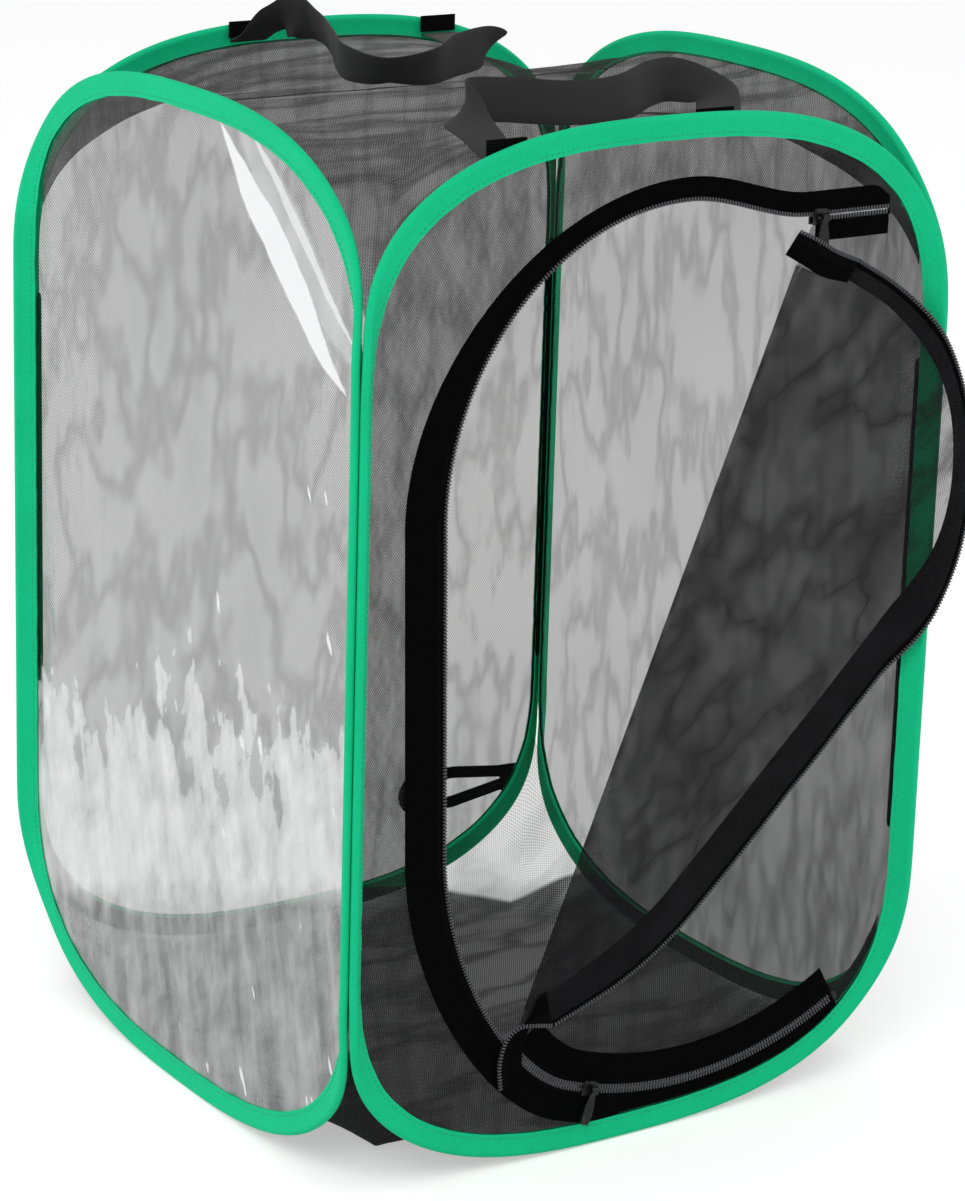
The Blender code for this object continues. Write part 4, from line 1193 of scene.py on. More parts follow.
    def corner_bend(self, obj: Object, sign: int) -> None:
        """Make a half follow its side where its corner is open; elsewhere only bake its placing into its mesh.

        Args:
            obj: The half, turned to its side.
            sign: Which half it is.
        """
        body = BODY_OF[self.side]
        beyond = NEIGHBOUR[(self.side, sign)]
        if beyond is None:
            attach(obj, body)
            return
        turn = self.side.turn
        corner = turn @ Vector((sign * CAGE.hinge, -CAGE.hinge, 0.0))
        way = (turn @ Vector((-sign, -1.0, 0.0))).normalized() * self.bend_reach
        corner + way
        corner - way
        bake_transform(obj)

    def build(self) -> None:
        """Make both halves and let them stand for the solids."""
        title = self.side.title
        for sign in (-1, 1):
            tape, seam, wire = self.tape_half(sign), self.stitches(sign), self.wire_half(sign)
            for obj in (tape, seam, wire):
                obj.data.transform(self.side.turn)
            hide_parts(f"{title}_binding")
            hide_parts(f"{title}_wire")
            for obj, slot in ((tape, "green_tape"), (seam, "green_tape"), (wire, "spring_steel")):
                self.corner_bend(obj, sign)
                LOG.info("%s: %d faces", obj.name, len(obj.data.polygons))


# Nets and film


def loop_margins(flat: np.ndarray, grow: float) -> tuple[np.ndarray, np.ndarray]:
    """How far flat points lie inside a loop's opening.

    Args:
        flat: Points as rows of x and z.
        grow: How much wider the opening is taken.

    Returns:
        The distance across to the tape's inner edge, and the height from its nearer end.
    """
    z = np.minimum(flat[:, 1], CAGE.height - flat[:, 1]) - CAGE.tape
    down = np.clip((CAGE.reach - z) / (CAGE.reach + grow), 0.0, 1.0)
    wide = (CAGE.loop_half + grow) * (1.0 - down ** CAGE.power) ** (1.0 / CAGE.power)
    return wide - np.abs(flat[:, 0]), z


def loop_inside(flat: np.ndarray, grow: float = 0.8 * MM) -> np.ndarray:
    """Whether flat points lie in a loop's opening.

    Args:
        flat: Points as rows of x and z.
        grow: How far past the tape's inner edge the cloth goes.

    Returns:
        One truth value for each point.
    """
    across, z = loop_margins(flat, grow)
    return (across >= 0.0) & (z >= -grow)


def edge_fade(flat: np.ndarray, reach: float) -> np.ndarray:
    """0 at a loop's edge, rising to 1 a distance inside it.

    Args:
        flat: Points as rows of x and z.
        reach: The distance at which it is 1.

    Returns:
        One number for each point.
    """
    across, z = loop_margins(flat, 0.0)
    t = np.clip(np.minimum(across, z) / reach, 0.0, 1.0)
    return t * t * (3.0 - 2.0 * t)


@dataclass
class SideSheet:
    """A sheet that fills a loop: net or film, with a gentle relief."""

    name: str
    side: Side
    finish: Finish
    stands_for: str
    slot: str = "black_net"
    relief: float = 2.2 * MM
    relief_scale: float = 9.0
    seed: float = 3.0
    cell: float = 4.5 * MM
    tuck: float = 2.0 * MM
    inside: Callable[[np.ndarray], np.ndarray] = loop_inside
    flat: tuple[float, float] = (0.375, 0.574)
    calm: Callable[[float, float], float] = lambda x, z: 1.0

    def lay(self, flat: np.ndarray) -> np.ndarray:
        """Place flat points on the front's plane, with the sheet's relief.

        Args:
            flat: Points as rows of x and z.

        Returns:
            Rows of x, y and z.
        """
        fade = edge_fade(flat, 35.0 * MM)
        scale = self.relief_scale
        lift = np.array([hashed(x * scale, z * scale * 0.6, self.seed)
                         + 0.45 * hashed(x * scale * 2.7, z * scale * 1.9, self.seed + 5.0) for x, z in flat])
        steady = np.array([self.calm(x, z) for x, z in flat])
        y = -CAGE.panel_y + fade * lift * self.relief * steady
        return np.stack([flat[:, 0], y, flat[:, 1]], axis=1)

    def build(self) -> Object:
        """Make the sheet.

        Returns:
            The piece.
        """
        half = CAGE.loop_half + self.tuck
        low = CAGE.tape - self.tuck
        obj = cut_sheet(self.name, (-half, half, low, CAGE.height - low), self.cell, self.inside, self.lay,
                        self.finish)
        obj.data.transform(self.side.turn)
        join(obj, BODY_OF[self.side], self.slot, self.stands_for)
        cloth_area(obj)
        LOG.info("%s: %d faces, %.3f square metres", self.name, len(obj.data.polygons), cloth_area(obj))
        return obj


@dataclass
class LevelSheet:
    """The top or floor net, in four quarters, each sewn to its side and moving with it."""

    name: str
    finish: Finish
    height_at: Callable[[float, float], float]
    stands_for: str
    cell: float = 5.0 * MM
    trim: float = 6.0 * MM
    kept_share: float = 0.03

    def quarter(self, side: Side) -> Object:
        """The quarter of the sheet between a side and the middle.

        Args:
            side: The side that it is sewn to.

        Returns:
            The piece.
        """
        edge = CAGE.roof_edge
        out = side.turn @ OUTWARDS

        def inside(flat: np.ndarray) -> np.ndarray:
            """Whether flat points lie on this quarter."""
            ahead = flat[:, 0] * out.x + flat[:, 1] * out.y
            beside = np.abs(flat[:, 0] * out.y - flat[:, 1] * out.x)
            return (ahead >= beside - 1e-6) & (ahead <= edge) & (beside + ahead <= 2 * edge - self.trim)

        def lay(flat: np.ndarray) -> np.ndarray:
            """Raise flat points to the sheet's height."""
            z = np.array([self.height_at(x, y) for x, y in flat])
            return np.stack([flat[:, 0], flat[:, 1], z], axis=1)

        span = edge + 1.0 * MM
        obj = cut_sheet(f"{self.name}_{side.title}_quarter", (-span, span, -span, span), self.cell,
                        inside, lay, self.finish)
        join(obj, BODY_OF[side], "black_net", self.stands_for)
        2 * edge
        cloth_area(obj)
        anchor = out * edge + Vector((0.0, 0.0, CAGE.height / 2))
        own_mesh(obj)
        return obj

    def build(self) -> None:
        """Make the four quarters."""
        for side in Side:
            made = self.quarter(side)
            LOG.info("%s: %d faces", made.name, len(made.data.polygons))


def level_seam(x: float, y: float) -> tuple[float, float]:
    """Where a place of the top or floor net lies beside the sides.

    Args:
        x: Place to the right of the middle.
        y: Place behind the middle.

    Returns:
        Rise of the nearest side's seam there, and the distance to that side.
    """
    edge = CAGE.roof_edge
    beside, near = edge - min(abs(x), abs(y)), edge - max(abs(x), abs(y))
    return CAGE.seam_rise(beside * CAGE.loop_half / edge), near


def roof_height(x: float, y: float) -> float:
    """Height of the top net: seamed to the loops, slack in its middle, with folds from side to side.

    Args:
        x: Place to the right of the middle.
        y: Place behind the middle.

    Returns:
        The height in metres.
    """
    rise, near = level_seam(x, y)
    fold = 2.0 * MM * math.cos(2 * math.pi * y / 0.124)
    crease = 1.0 - abs(hashed(x * 4.0, y * 26.0 + 1.5 * hashed(x * 6.0, y * 6.0, 4.0), 11.0)) * 2.2
    small = 1.8 * MM * (crease - 0.5) + 0.6 * MM * hashed(x * 30.0, y * 60.0, 2.0)
    dip = 2.4 * MM * smoothstep(near / 0.010)
    return (CAGE.height - rise + 1.5 * MM - dip + smoothstep(near / 0.060) * (fold - 2.0 * MM)
            + smoothstep(near / 0.030) * small)


def floor_height(x: float, y: float) -> float:
    """Height of the floor net: flat on the ground, rising to its seam, with a few wrinkles.

    Args:
        x: Place to the right of the middle.
        y: Place behind the middle.

    Returns:
        The height in metres.
    """
    rise, near = level_seam(x, y)
    slack = smoothstep(near / 0.060)
    broad = max(0.0, hashed(x * 11.0, y * 16.0, 5.0)) ** 2
    small = max(0.0, hashed(x * 30.0, y * 24.0, 8.0))
    return (rise - 1.5 * MM) * (1.0 - slack) + slack * (0.4 + 10.0 * broad + 2.0 * small) * MM


# Zipped door


@dataclass
class ZippedDoor:
    """The D-shaped zip line, its facing tapes, coil and nets, and the open flap."""

    left_margin: float = 0.050
    top_margin: float = 0.035
    bottom_margin: float = 0.013
    apex_x: float = 0.016
    top_drop: float = 0.0155
    straight_x: float = 0.09797
    corner_height: float = 0.161
    lean: float = 0.005
    foot_height: float = 0.204
    arc_radius: float = 0.230
    arc_x: float = 0.035
    arc_start_x: float = -0.045
    curve_reach: float = 0.46
    end_clearance: float = 0.009
    facing: float = 0.0008
    facing_top: float = 0.0140
    facing_side: float = 0.0270
    facing_foot: float = 0.0210
    facing_edge_gap: float = 0.0014
    chain_gap: float = 0.0012
    chain_width: float = 0.0025
    chain_thick: float = 0.0022
    net_inset: float = 0.0055
    tooth_pitch: float = 2.0 * MM
    tooth_long: float = 1.15 * MM
    tooth_edge: float = 0.32 * MM
    line_step: float = 4.0 * MM
    crease_foot: tuple[float, float] = (-0.075, 0.095)
    crease_head: tuple[float, float] = (0.098, 0.522)
    crease_gap: float = 0.0003
    standoff: float = 0.0032
    flap_head: float = 0.4460147
    flap_foot: float = -0.006
    flap_notch: tuple[float, float, float] = (0.022, 0.048, 0.4640147)
    flap_turn: float = math.radians(172.0)
    end_halvings: int = 24
    bridge_span: tuple[float, float] = (-6.0 * MM, 26.0 * MM)
    flap_start: float = 0.012
    head_hang: float = 0.004
    foot_lift: float = 0.004
    upper_slider_x: float = 0.105975
    slider_long: float = 0.011
    line: list = field(default_factory=list)
    normals: list = field(default_factory=list)
    runs: list = field(default_factory=list)
    edge: list = field(default_factory=list)

    @property
    def top(self) -> float:
        """Height of the zip line's highest point."""
        return CAGE.height - CAGE.tape - self.top_margin

    @property
    def tape_y(self) -> float:
        """How far outside the net the facing's middle lies."""
        return CAGE.net / 2 + CAGE.gap + self.facing / 2

    @property
    def way(self) -> Vector:
        """Direction of the crease."""
        return (Vector(self.crease_head) - Vector(self.crease_foot)).normalized()

    @property
    def right(self) -> Vector:
        """Way to the right of the crease."""
        return Vector((self.way.y, -self.way.x))

    @property
    def hinge(self) -> Vector:
        """Foot of the flap's hinge line."""
        return Vector((self.crease_foot[0], -CAGE.panel_y - self.standoff, self.crease_foot[1]))

    @property
    def opening(self) -> Matrix:
        """Turn of the flap from closed to open, about its hinge line's direction."""
        return Matrix.Rotation(self.flap_turn, 4, Vector((self.way.x, 0.0, self.way.y)))

    def right_of(self, p: Vector) -> float:
        """How far right of the crease a point is."""
        return (p - Vector(self.crease_foot)).dot(self.right)

    def along(self, p: Vector) -> float:
        """How far up the crease a point is."""
        return (p - Vector(self.crease_foot)).dot(self.way)

    def beside_crease(self, right: float, height: float) -> Vector:
        """A flat point of the door.

        Args:
            right: How far right of the crease it is.
            height: How far up the crease it is.

        Returns:
            The point's x and z.
        """
        return Vector(self.crease_foot) + self.right * right + self.way * height

    def inset(self, i: int) -> Vector:
        """Edge of the net beside a point of the zip line."""
        return self.line[i] - self.normals[i] * self.net_inset

    def arc_point(self, x: float) -> Vector:
        """A point of the foot arc."""
        z = CAGE.tape + self.bottom_margin + self.arc_radius
        return Vector((x, z - math.sqrt(self.arc_radius ** 2 - (x - self.arc_x) ** 2)))

    def loop_distance(self, p: Vector) -> float:
        """How far a point is from the tape's inner edge."""
        return min((p - e).length for e in self.edge)

    def run_end(self, point_at: Callable[[float], Vector], low: float, high: float) -> float:
        """Where a run of the zip stops, at its clearance from the tape.

        Args:
            point_at: The run's point at an x.
            low: An x on the run.
            high: An x past its end.

        Returns:
            The x of its end.
        """
        for _ in range(self.end_halvings):
            middle = (low + high) / 2
            if self.loop_distance(point_at(middle)) > self.end_clearance:
                low = middle
            else:
                high = middle
        return low

    def head_points(self) -> list[Vector]:
        """The zip line from its upper end along the top and down to the left side."""
        top, left = self.top, -CAGE.loop_half + self.left_margin
        right_z = top - self.top_drop
        end = self.run_end(lambda x: Vector((x, right_z)), self.upper_slider_x, CAGE.loop_edge_x(right_z))
        points = [Vector((end, right_z)), Vector((self.upper_slider_x + self.slider_long, right_z))]
        run = self.straight_x - self.apex_x
        for step in range(24):
            x = self.straight_x - run * step / 24
            points.append(Vector((x, top - self.top_drop * smoothstep((x - self.apex_x) / run))))
        for step in range(40):
            turn = math.pi / 2 * step / 40
            points.append(Vector((self.apex_x - (self.apex_x - left) * math.sin(turn),
                                  top - self.corner_height * (1.0 - math.cos(turn)))))
        return points + [Vector((left, top - self.corner_height))]

    def foot_points(self) -> list[Vector]:
        """The zip line round the lower left corner and along the foot arc."""
        foot_left = Vector((-CAGE.loop_half + self.left_margin + self.lean, self.foot_height))
        start = self.arc_point(self.arc_start_x)
        slope = (self.arc_point(self.arc_start_x + 1.0 * MM) - start).normalized()
        down = foot_left - Vector((0.0, self.curve_reach * (foot_left.y - start.y)))
        back = start - slope * self.curve_reach * (start.x - foot_left.x)
        points = []
        for step in range(36):
            t = step / 36
            points.append(foot_left * (1 - t) ** 3 + down * 3 * t * (1 - t) ** 2
                          + back * 3 * t * t * (1 - t) + start * t ** 3)
        end_x = self.run_end(self.arc_point, self.arc_x, CAGE.loop_half)
        return points + [self.arc_point(self.arc_start_x + (end_x - self.arc_start_x) * step / 60)
                         for step in range(61)]

    def trace(self) -> None:
        """Work out the zip line, its normals and its run."""
        self.edge = [Vector((s.x, s.z)) for s in half_loop(1, 1.5 * MM)]
        self.line = resample(self.head_points() + self.foot_points(), self.line_step)
        for i in range(len(self.line)):
            tangent = self.line[min(i + 2, len(self.line) - 1)] - self.line[max(0, i - 2)]
            tangent.normalize()
            self.normals.append(Vector((tangent.y, -tangent.x)))
            self.runs.append(self.line_step * i)

    def facing_width(self, p: Vector) -> float:
        """Width of the facing where the zip line passes a point."""
        down = smoothstep((self.top - p.y) / self.corner_height)
        low = smoothstep((self.foot_height - p.y) / self.foot_height)
        return (self.facing_top + (self.facing_side - self.facing_top) * down
                + (self.facing_foot - self.facing_side) * low)

    def facing_strip(self, name: str, picks: Sequence[int], sign: int, y_mid: float) -> Object:
        """A facing tape beside part of the zip line.

        Args:
            name: The piece's name.
            picks: Which points of the zip line it runs past.
            sign: 1 for the side away from the door, -1 for the door's side.
            y_mid: Its middle plane.

        Returns:
            The piece.
        """
        columns = 7
        rings = []
        near = self.chain_gap / 2 + 0.4 * MM
        for i in picks:
            p, n = self.line[i], self.normals[i]
            far = self.facing_width(p)
            if sign > 0:
                far = min(far, self.loop_distance(p) - self.facing_edge_gap)
            half = self.facing / 2
            front, back = [], []
            for c in range(columns + 1):
                share = c / columns
                offset = near + (far - near) * share
                q = p + n * sign * offset
                ripple = 0.28 * MM * hashed(self.runs[i] * 55.0, share * 3.0, 2.0) * smoothstep(share * 2.5)
                thin = half * (0.55 if c in (0, columns) else 1.0)
                front.append(Vector((q.x, y_mid - thin - ripple, q.y)))
                back.append(Vector((q.x, y_mid + thin, q.y)))
            rings.append(front + back[::-1])
        widths = [near + (self.facing_side - near) * c / columns for c in range(columns + 1)]
        widths = widths + widths[::-1] + widths[:1]
        return swept(name, rings, [self.runs[i] for i in picks], widths, FACING)

    def tooth(self) -> Object:
        """One turn of the coil: a small block with bevelled edges.

        Returns:
            The pattern piece, with X along the zip and Z towards its middle.
        """
        bpy.ops.object.select_all(action="DESELECT")
        bpy.ops.mesh.primitive_cube_add(size=1.0)
        obj = bpy.context.object
        obj.data.transform(Matrix.Diagonal((self.tooth_long, self.chain_thick * 0.92, self.chain_width, 1.0)))
        bpy.ops.object.mode_set(mode="EDIT")
        bpy.ops.mesh.select_all(action="SELECT")
        bpy.ops.mesh.bevel(offset=self.tooth_edge, segments=1, affect="EDGES")
        bpy.ops.object.mode_set(mode="OBJECT")
        return obj

    def coil(self, name: str, picks: Sequence[int], sign: int, y_mid: float, phase: float) -> Object:
        """The coil beside part of the zip line.

        Args:
            name: The piece's name.
            picks: Which points of the zip line it runs past.
            sign: 1 for the side away from the door, -1 for the door's side.
            y_mid: Its middle plane.
            phase: Share of a pitch by which its turns are moved along.

        Returns:
            The piece.
        """
        table = np.array([[*self.line[i], *self.normals[i]] for i in picks])
        run = np.concatenate([[0.0], np.cumsum(np.linalg.norm(np.diff(table[:, :2], axis=0), axis=1))])
        middle = self.chain_gap / 2 + self.chain_width / 2 - 0.3 * MM
        places = []
        for k in range(int((run[-1] - self.tooth_pitch) / self.tooth_pitch)):
            at = (k + 0.5 + phase) * self.tooth_pitch
            x, z, nx, nz = (float(np.interp(at, run, column)) for column in table.T)
            normal = Vector((nx, nz)).normalized()
            q = Vector((x, z)) + normal * sign * middle
            places.append(frame_along(Vector((q.x, y_mid, q.y)), Vector((-normal.y, 0.0, normal.x))))
        return repeated(name, self.tooth(), places, COIL)

    def door_inside(self, flat: np.ndarray, grow: float) -> np.ndarray:
        """Whether flat points lie in the door's region.

        Args:
            flat: Points as rows of x and z.
            grow: How far past the zip line it reaches; at the zip's ends it comes back to the line.

        Returns:
            One truth value for each point.
        """
        outline = []
        for p, n in zip(self.line, self.normals):
            q = p + n * grow * smoothstep((self.loop_distance(p) - 9.2 * MM) / (1.4 * MM))
            outline.append((q.x, q.y))
        beyond = 0.5
        outline = [(beyond, outline[0][1]), *outline, (beyond, outline[-1][1])]
        return inside_outline(flat, np.array(outline))

    def surround(self, flat: np.ndarray) -> np.ndarray:
        """Whether flat points lie on the net round the door."""
        return loop_inside(flat) & ~self.door_inside(flat, self.net_inset)

    def fixed_door(self, flat: np.ndarray) -> np.ndarray:
        """Whether flat points lie on the door's net that stays zipped in."""
        right = (flat - np.array(self.crease_foot)) @ np.array(self.right)
        return loop_inside(flat) & self.door_inside(flat, -self.net_inset) & (right > self.crease_gap)

    def open_run(self) -> list[int]:
        """Which points of the zip line the flap's edge follows."""
        notch, slope_r, slope_l = self.flap_notch
        picks = []
        for i in range(len(self.line)):
            moved = self.inset(i)
            left = -self.right_of(moved)
            limit = self.flap_head + (slope_l - self.flap_head) * smoothstep((left - notch) / (slope_r - notch))
            if left > self.flap_start and self.flap_foot < self.along(moved) < limit + self.net_inset:
                picks.append(i)
        return picks

    def open_depth(self, left: float, height: float) -> float:
        """How far before the panel the open flap lies: flat on the net, rising over the side's tape.

        Args:
            left: How far from the crease.
            height: How far up the crease.

        Returns:
            The distance in metres.
        """
        return 5.2 * MM + 12.0 * MM * smoothstep((self.beside_crease(left, height).x - 0.164) / 0.034)

    def swing(self, obj: Object) -> None:
        """Shape a piece of the closed door and swing it to the open door's place.

        Its corners hang a little, and it lies down on the door.

        Args:
            obj: The piece, made in the closed door's plane.
        """
        co = np.array([v.co for v in obj.data.vertices])
        foot, right, way = (np.array(v) for v in (self.crease_foot, self.right, self.way))
        flat = co[:, [0, 2]] - foot
        tilt = math.sin(math.pi - self.flap_turn)
        for k, (left, height) in enumerate(zip(-(flat @ right), flat @ way)):
            hang = self.head_hang * smoothstep((height - 0.29) / 0.13) * smoothstep(left / 0.05)
            lift = self.foot_lift * smoothstep((0.12 - height) / 0.11) * smoothstep(left / 0.03)
            wave = 1.6 * MM * abs(hashed(left * 22.0, height * 14.0, 6.0)) * smoothstep(left / 0.03)
            lower = self.standoff + tilt * left - self.open_depth(left, height) - wave
            left -= 0.56 * hang + 0.30 * lift
            height += 0.95 * lift - 0.83 * hang
            co[k, [0, 2]] = foot + way * height - right * left
            co[k, 1] -= max(0.0, lower)
        set_points(obj, co)
        obj.data.transform(Matrix.Translation(self.hinge) @ self.opening @ Matrix.Translation(-self.hinge))

    def flatten_closed(self, obj: Object) -> None:
        """Give a piece of the flap its own copy of its mesh."""
        tuple(self.hinge)
        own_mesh(obj)

    def bridge(self, title: str, keys: Sequence[tuple[float, ...]]) -> None:
        """Carry the facing and the coil round an end of the crease, from the fixed zip to the flap.

        Args:
            title: First part of the pieces' names.
            keys: Places down the strip in millimetres, each as right and height of the teeth's edge, right and
                height of the inner edge, and how far before the panel each edge lies.
        """
        route = smooth_route([Vector((k[0], k[1], k[4])) * MM for k in keys], 8)
        inner = smooth_route([Vector((k[2], k[3], k[5])) * MM for k in keys], 8)

        def place(p: Vector) -> Vector:
            """A point beside the crease, before the panel."""
            q = self.beside_crease(p.x, p.y)
            return Vector((q.x, -CAGE.panel_y - p.z, q.y))

        rings, runs, teeth = [], [], []
        for a, b in zip(route, inner):
            teeth.append(place(a))
            runs.append(runs[-1] + (teeth[-1] - teeth[-2]).length if runs else 0.0)
            front = [place(a.lerp(b, c / 6)) for c in range(7)]
            thin = [self.facing * (0.28 if c in (0, 6) else 0.5) for c in range(7)]
            rings.append([p - Vector((0, h, 0)) for p, h in zip(front, thin)]
                         + [p + Vector((0, h, 0)) for p, h in zip(front[::-1], thin[::-1])])
        widths = [16.0 * MM * c / 6 for c in range(7)]
        strip = swept(title + "_facing", rings, runs, widths + widths[::-1] + widths[:1], FACING)
        even = resample(teeth, self.tooth_pitch)
        places = [frame_along((a + b) / 2, b - a) for a, b in zip(even, even[1:])]
        coil = repeated(title + "_coil", self.tooth(), places, COIL)
        first, last = (place(Vector((right, 0.2, self.standoff))) for right in self.bridge_span)
        for obj, slot in ((strip, "black_tape"), (coil, "zip_nylon")):
            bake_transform(obj)
        LOG.info("%s: %.0f mm of zip round the crease", title, runs[-1] / MM)

    def build_bridges(self) -> None:
        """Make the two ends where the zip turns from the panel on to the flap."""
        head = ((-9, 464, -13, 449, 3.6, 3.4), (4, 463, 1, 447, 6.2, 5.6), (18, 461, 15, 445, 7.2, 6.0),
                (36, 461, 34, 447, 6.4, 6.0))
        foot = ((2, -49, 14, -37, 2.4, 2.2), (-6, -34, 8, -28, 3.2, 2.8), (-8, -19, 5, -15, 4.4, 3.8),
                (-3, -10, 3, -2, 6.0, 5.0), (6, -7, 1, 6, 6.6, 6.0), (13, -6, 3, 10, 6.0, 5.8),
                (19, -5, 6, 13, 5.2, 5.4))
        self.bridge("head_turn", head)
        self.bridge("foot_turn", foot)

    def flap_inside(self, flat: np.ndarray) -> np.ndarray:
        """Whether flat points lie on the open half of the door's net."""
        outline = [self.beside_crease(-self.crease_gap, self.flap_head),
                   self.beside_crease(-self.flap_notch[0], self.flap_head)]
        outline += [self.inset(i) for i in self.open_run()]
        outline.append(self.beside_crease(-self.crease_gap, self.flap_foot))
        return inside_outline(flat, np.array([tuple(p) for p in outline]))

    def build_nets(self) -> None:
        """Make the net round the door, the fixed door net and the flap's net."""
        SideSheet("surround_mesh", Side.FRONT, SIDE_NET, "surround_net", seed=3.0, inside=self.surround,
                  flat=(0.060, 1.08), relief=1.4 * MM).build()
        SideSheet("fixed_door_mesh", Side.FRONT, DOOR_NET, "door_net", seed=13.0, inside=self.fixed_door,
                  flat=(0.270, 0.500), relief=2.0 * MM,
                  calm=lambda x, z: smoothstep(self.right_of(Vector((x, z))) / 0.040)).build()

        def lay(flat: np.ndarray) -> np.ndarray:
            """Place flat points on the closed flap's plane."""
            return np.stack([flat[:, 0], np.full(len(flat), self.hinge.y), flat[:, 1]], axis=1)

        obj = cut_sheet("flap_mesh", (-0.15, 0.12, 0.05, 0.56), 4.5 * MM, self.flap_inside, lay, FLAP_NET)
        self.swing(obj)
        join(obj, "door_flap", "black_net", "flap_net")
        cloth_area(obj)
        self.flatten_closed(obj)
        LOG.info("flap_mesh: %.4f square metres", cloth_area(obj))

    def build_zip(self) -> None:
        """Make the facing tapes and the coil, on the panel and on the flap."""
        around = range(len(self.line))
        cut = self.upper_slider_x - self.slider_long / 2
        upper = [i for i, p in enumerate(self.line) if p.x > cut and p.y > CAGE.height / 2]
        foot = self.crease_foot[1]
        first = next(i for i, p in enumerate(self.line) if p.y < foot and self.right_of(p) > 0.0)
        stretches = (("surround", around, 1, 0.0, "surround_tape", "surround_chain"),
                     ("upper_door", upper, -1, 0.5, "door_tape_upper", "door_chain_upper"),
                     ("lower_door", around[first:], -1, 0.5, "door_tape_lower", "door_chain_lower"),
                     ("flap", self.open_run(), -1, 0.5, "flap_tape", "flap_chain"))
        for title, picks, sign, phase, tape, chain in stretches:
            swings = title == "flap"
            y_mid = -CAGE.panel_y - self.tape_y - (self.standoff if swings else 0.0)
            strip = self.facing_strip(f"{title}_facing", picks, sign, y_mid)
            coil = self.coil(f"{title}_coil", picks, sign, y_mid, phase)
            for obj, solid, slot in ((strip, tape, "black_tape"), (coil, chain, "zip_nylon")):
                if swings:
                    self.swing(obj)
                join(obj, "door_flap" if swings else "front_panel", slot, solid)
                if swings:
                    self.flatten_closed(obj)
                LOG.info("%s: %d faces", obj.name, len(obj.data.polygons))

    def build_crease(self) -> None:
        """Make the narrow roll of net that joins the fixed net to the flap along the crease."""
        radius = self.standoff / 2
        turns = [math.pi * k / 8 for k in range(9)]
        runs = [self.flap_head * step / 90 for step in range(91)]
        rings = []
        for height in runs:
            flat = [self.beside_crease(self.crease_gap - radius * math.sin(turn), height) for turn in turns]
            rings.append([Vector((q.x, -CAGE.panel_y - radius * (1.0 - math.cos(turn)), q.y))
                          for q, turn in zip(flat, turns)])
        widths = [radius * turn for turn in turns]
        obj = swept("crease_roll", rings, runs, widths + widths[-1:], FLAP_NET, closed_section=False, smooth=180.0)
        self.hinge - OUTWARDS * self.standoff
        self.hinge
        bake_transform(obj)
        LOG.info("crease_roll: %.0f mm long", self.flap_head / MM)

    def build(self) -> None:
        """Make the whole door."""
        self.trace()
        self.build_nets()
        self.build_zip()
        self.build_crease()
        self.build_bridges()
        LOG.info("door: zip line of %d points", len(self.line))


def inside_outline(flat: np.ndarray, outline: np.ndarray) -> np.ndarray:
    """Whether flat points lie inside a closed outline.

    Args:
        flat: Points as rows of two numbers.
        outline: The outline's corners in order.

    Returns:
        One truth value for each point.
    """
    x, z = flat[:, 0][:, None], flat[:, 1][:, None]
    ax, az = outline[:, 0][None, :], outline[:, 1][None, :]
    bx, bz = np.roll(outline[:, 0], -1)[None, :], np.roll(outline[:, 1], -1)[None, :]
    crosses = (az > z) != (bz > z)
    span = np.where(bz == az, 1e-12, bz - az)
    at = ax + (z - az) * (bx - ax) / span
    return (crosses & (x < at)).sum(axis=1) % 2 == 1


# Handles


def smooth_route(points: Sequence[Vector], steps: int) -> list[Vector]:
    """Catmull-Rom curve through points.

    Args:
        points: The points.
        steps: Steps in each span.

    Returns:
        The curve's points.
    """
    ends = [points[0] * 2 - points[1]] + list(points) + [points[-1] * 2 - points[-2]]
    route = []
    for i in range(1, len(ends) - 2):
        p0, p1, p2, p3 = ends[i - 1:i + 3]
        for k in range(steps):
            t = k / steps
            route.append(0.5 * (2 * p1 + (p2 - p0) * t + (2 * p0 - 5 * p1 + 4 * p2 - p3) * t * t
                                + (3 * p1 - p0 - 3 * p2 + p3) * t ** 3))
    route.append(points[-1].copy())
    return route


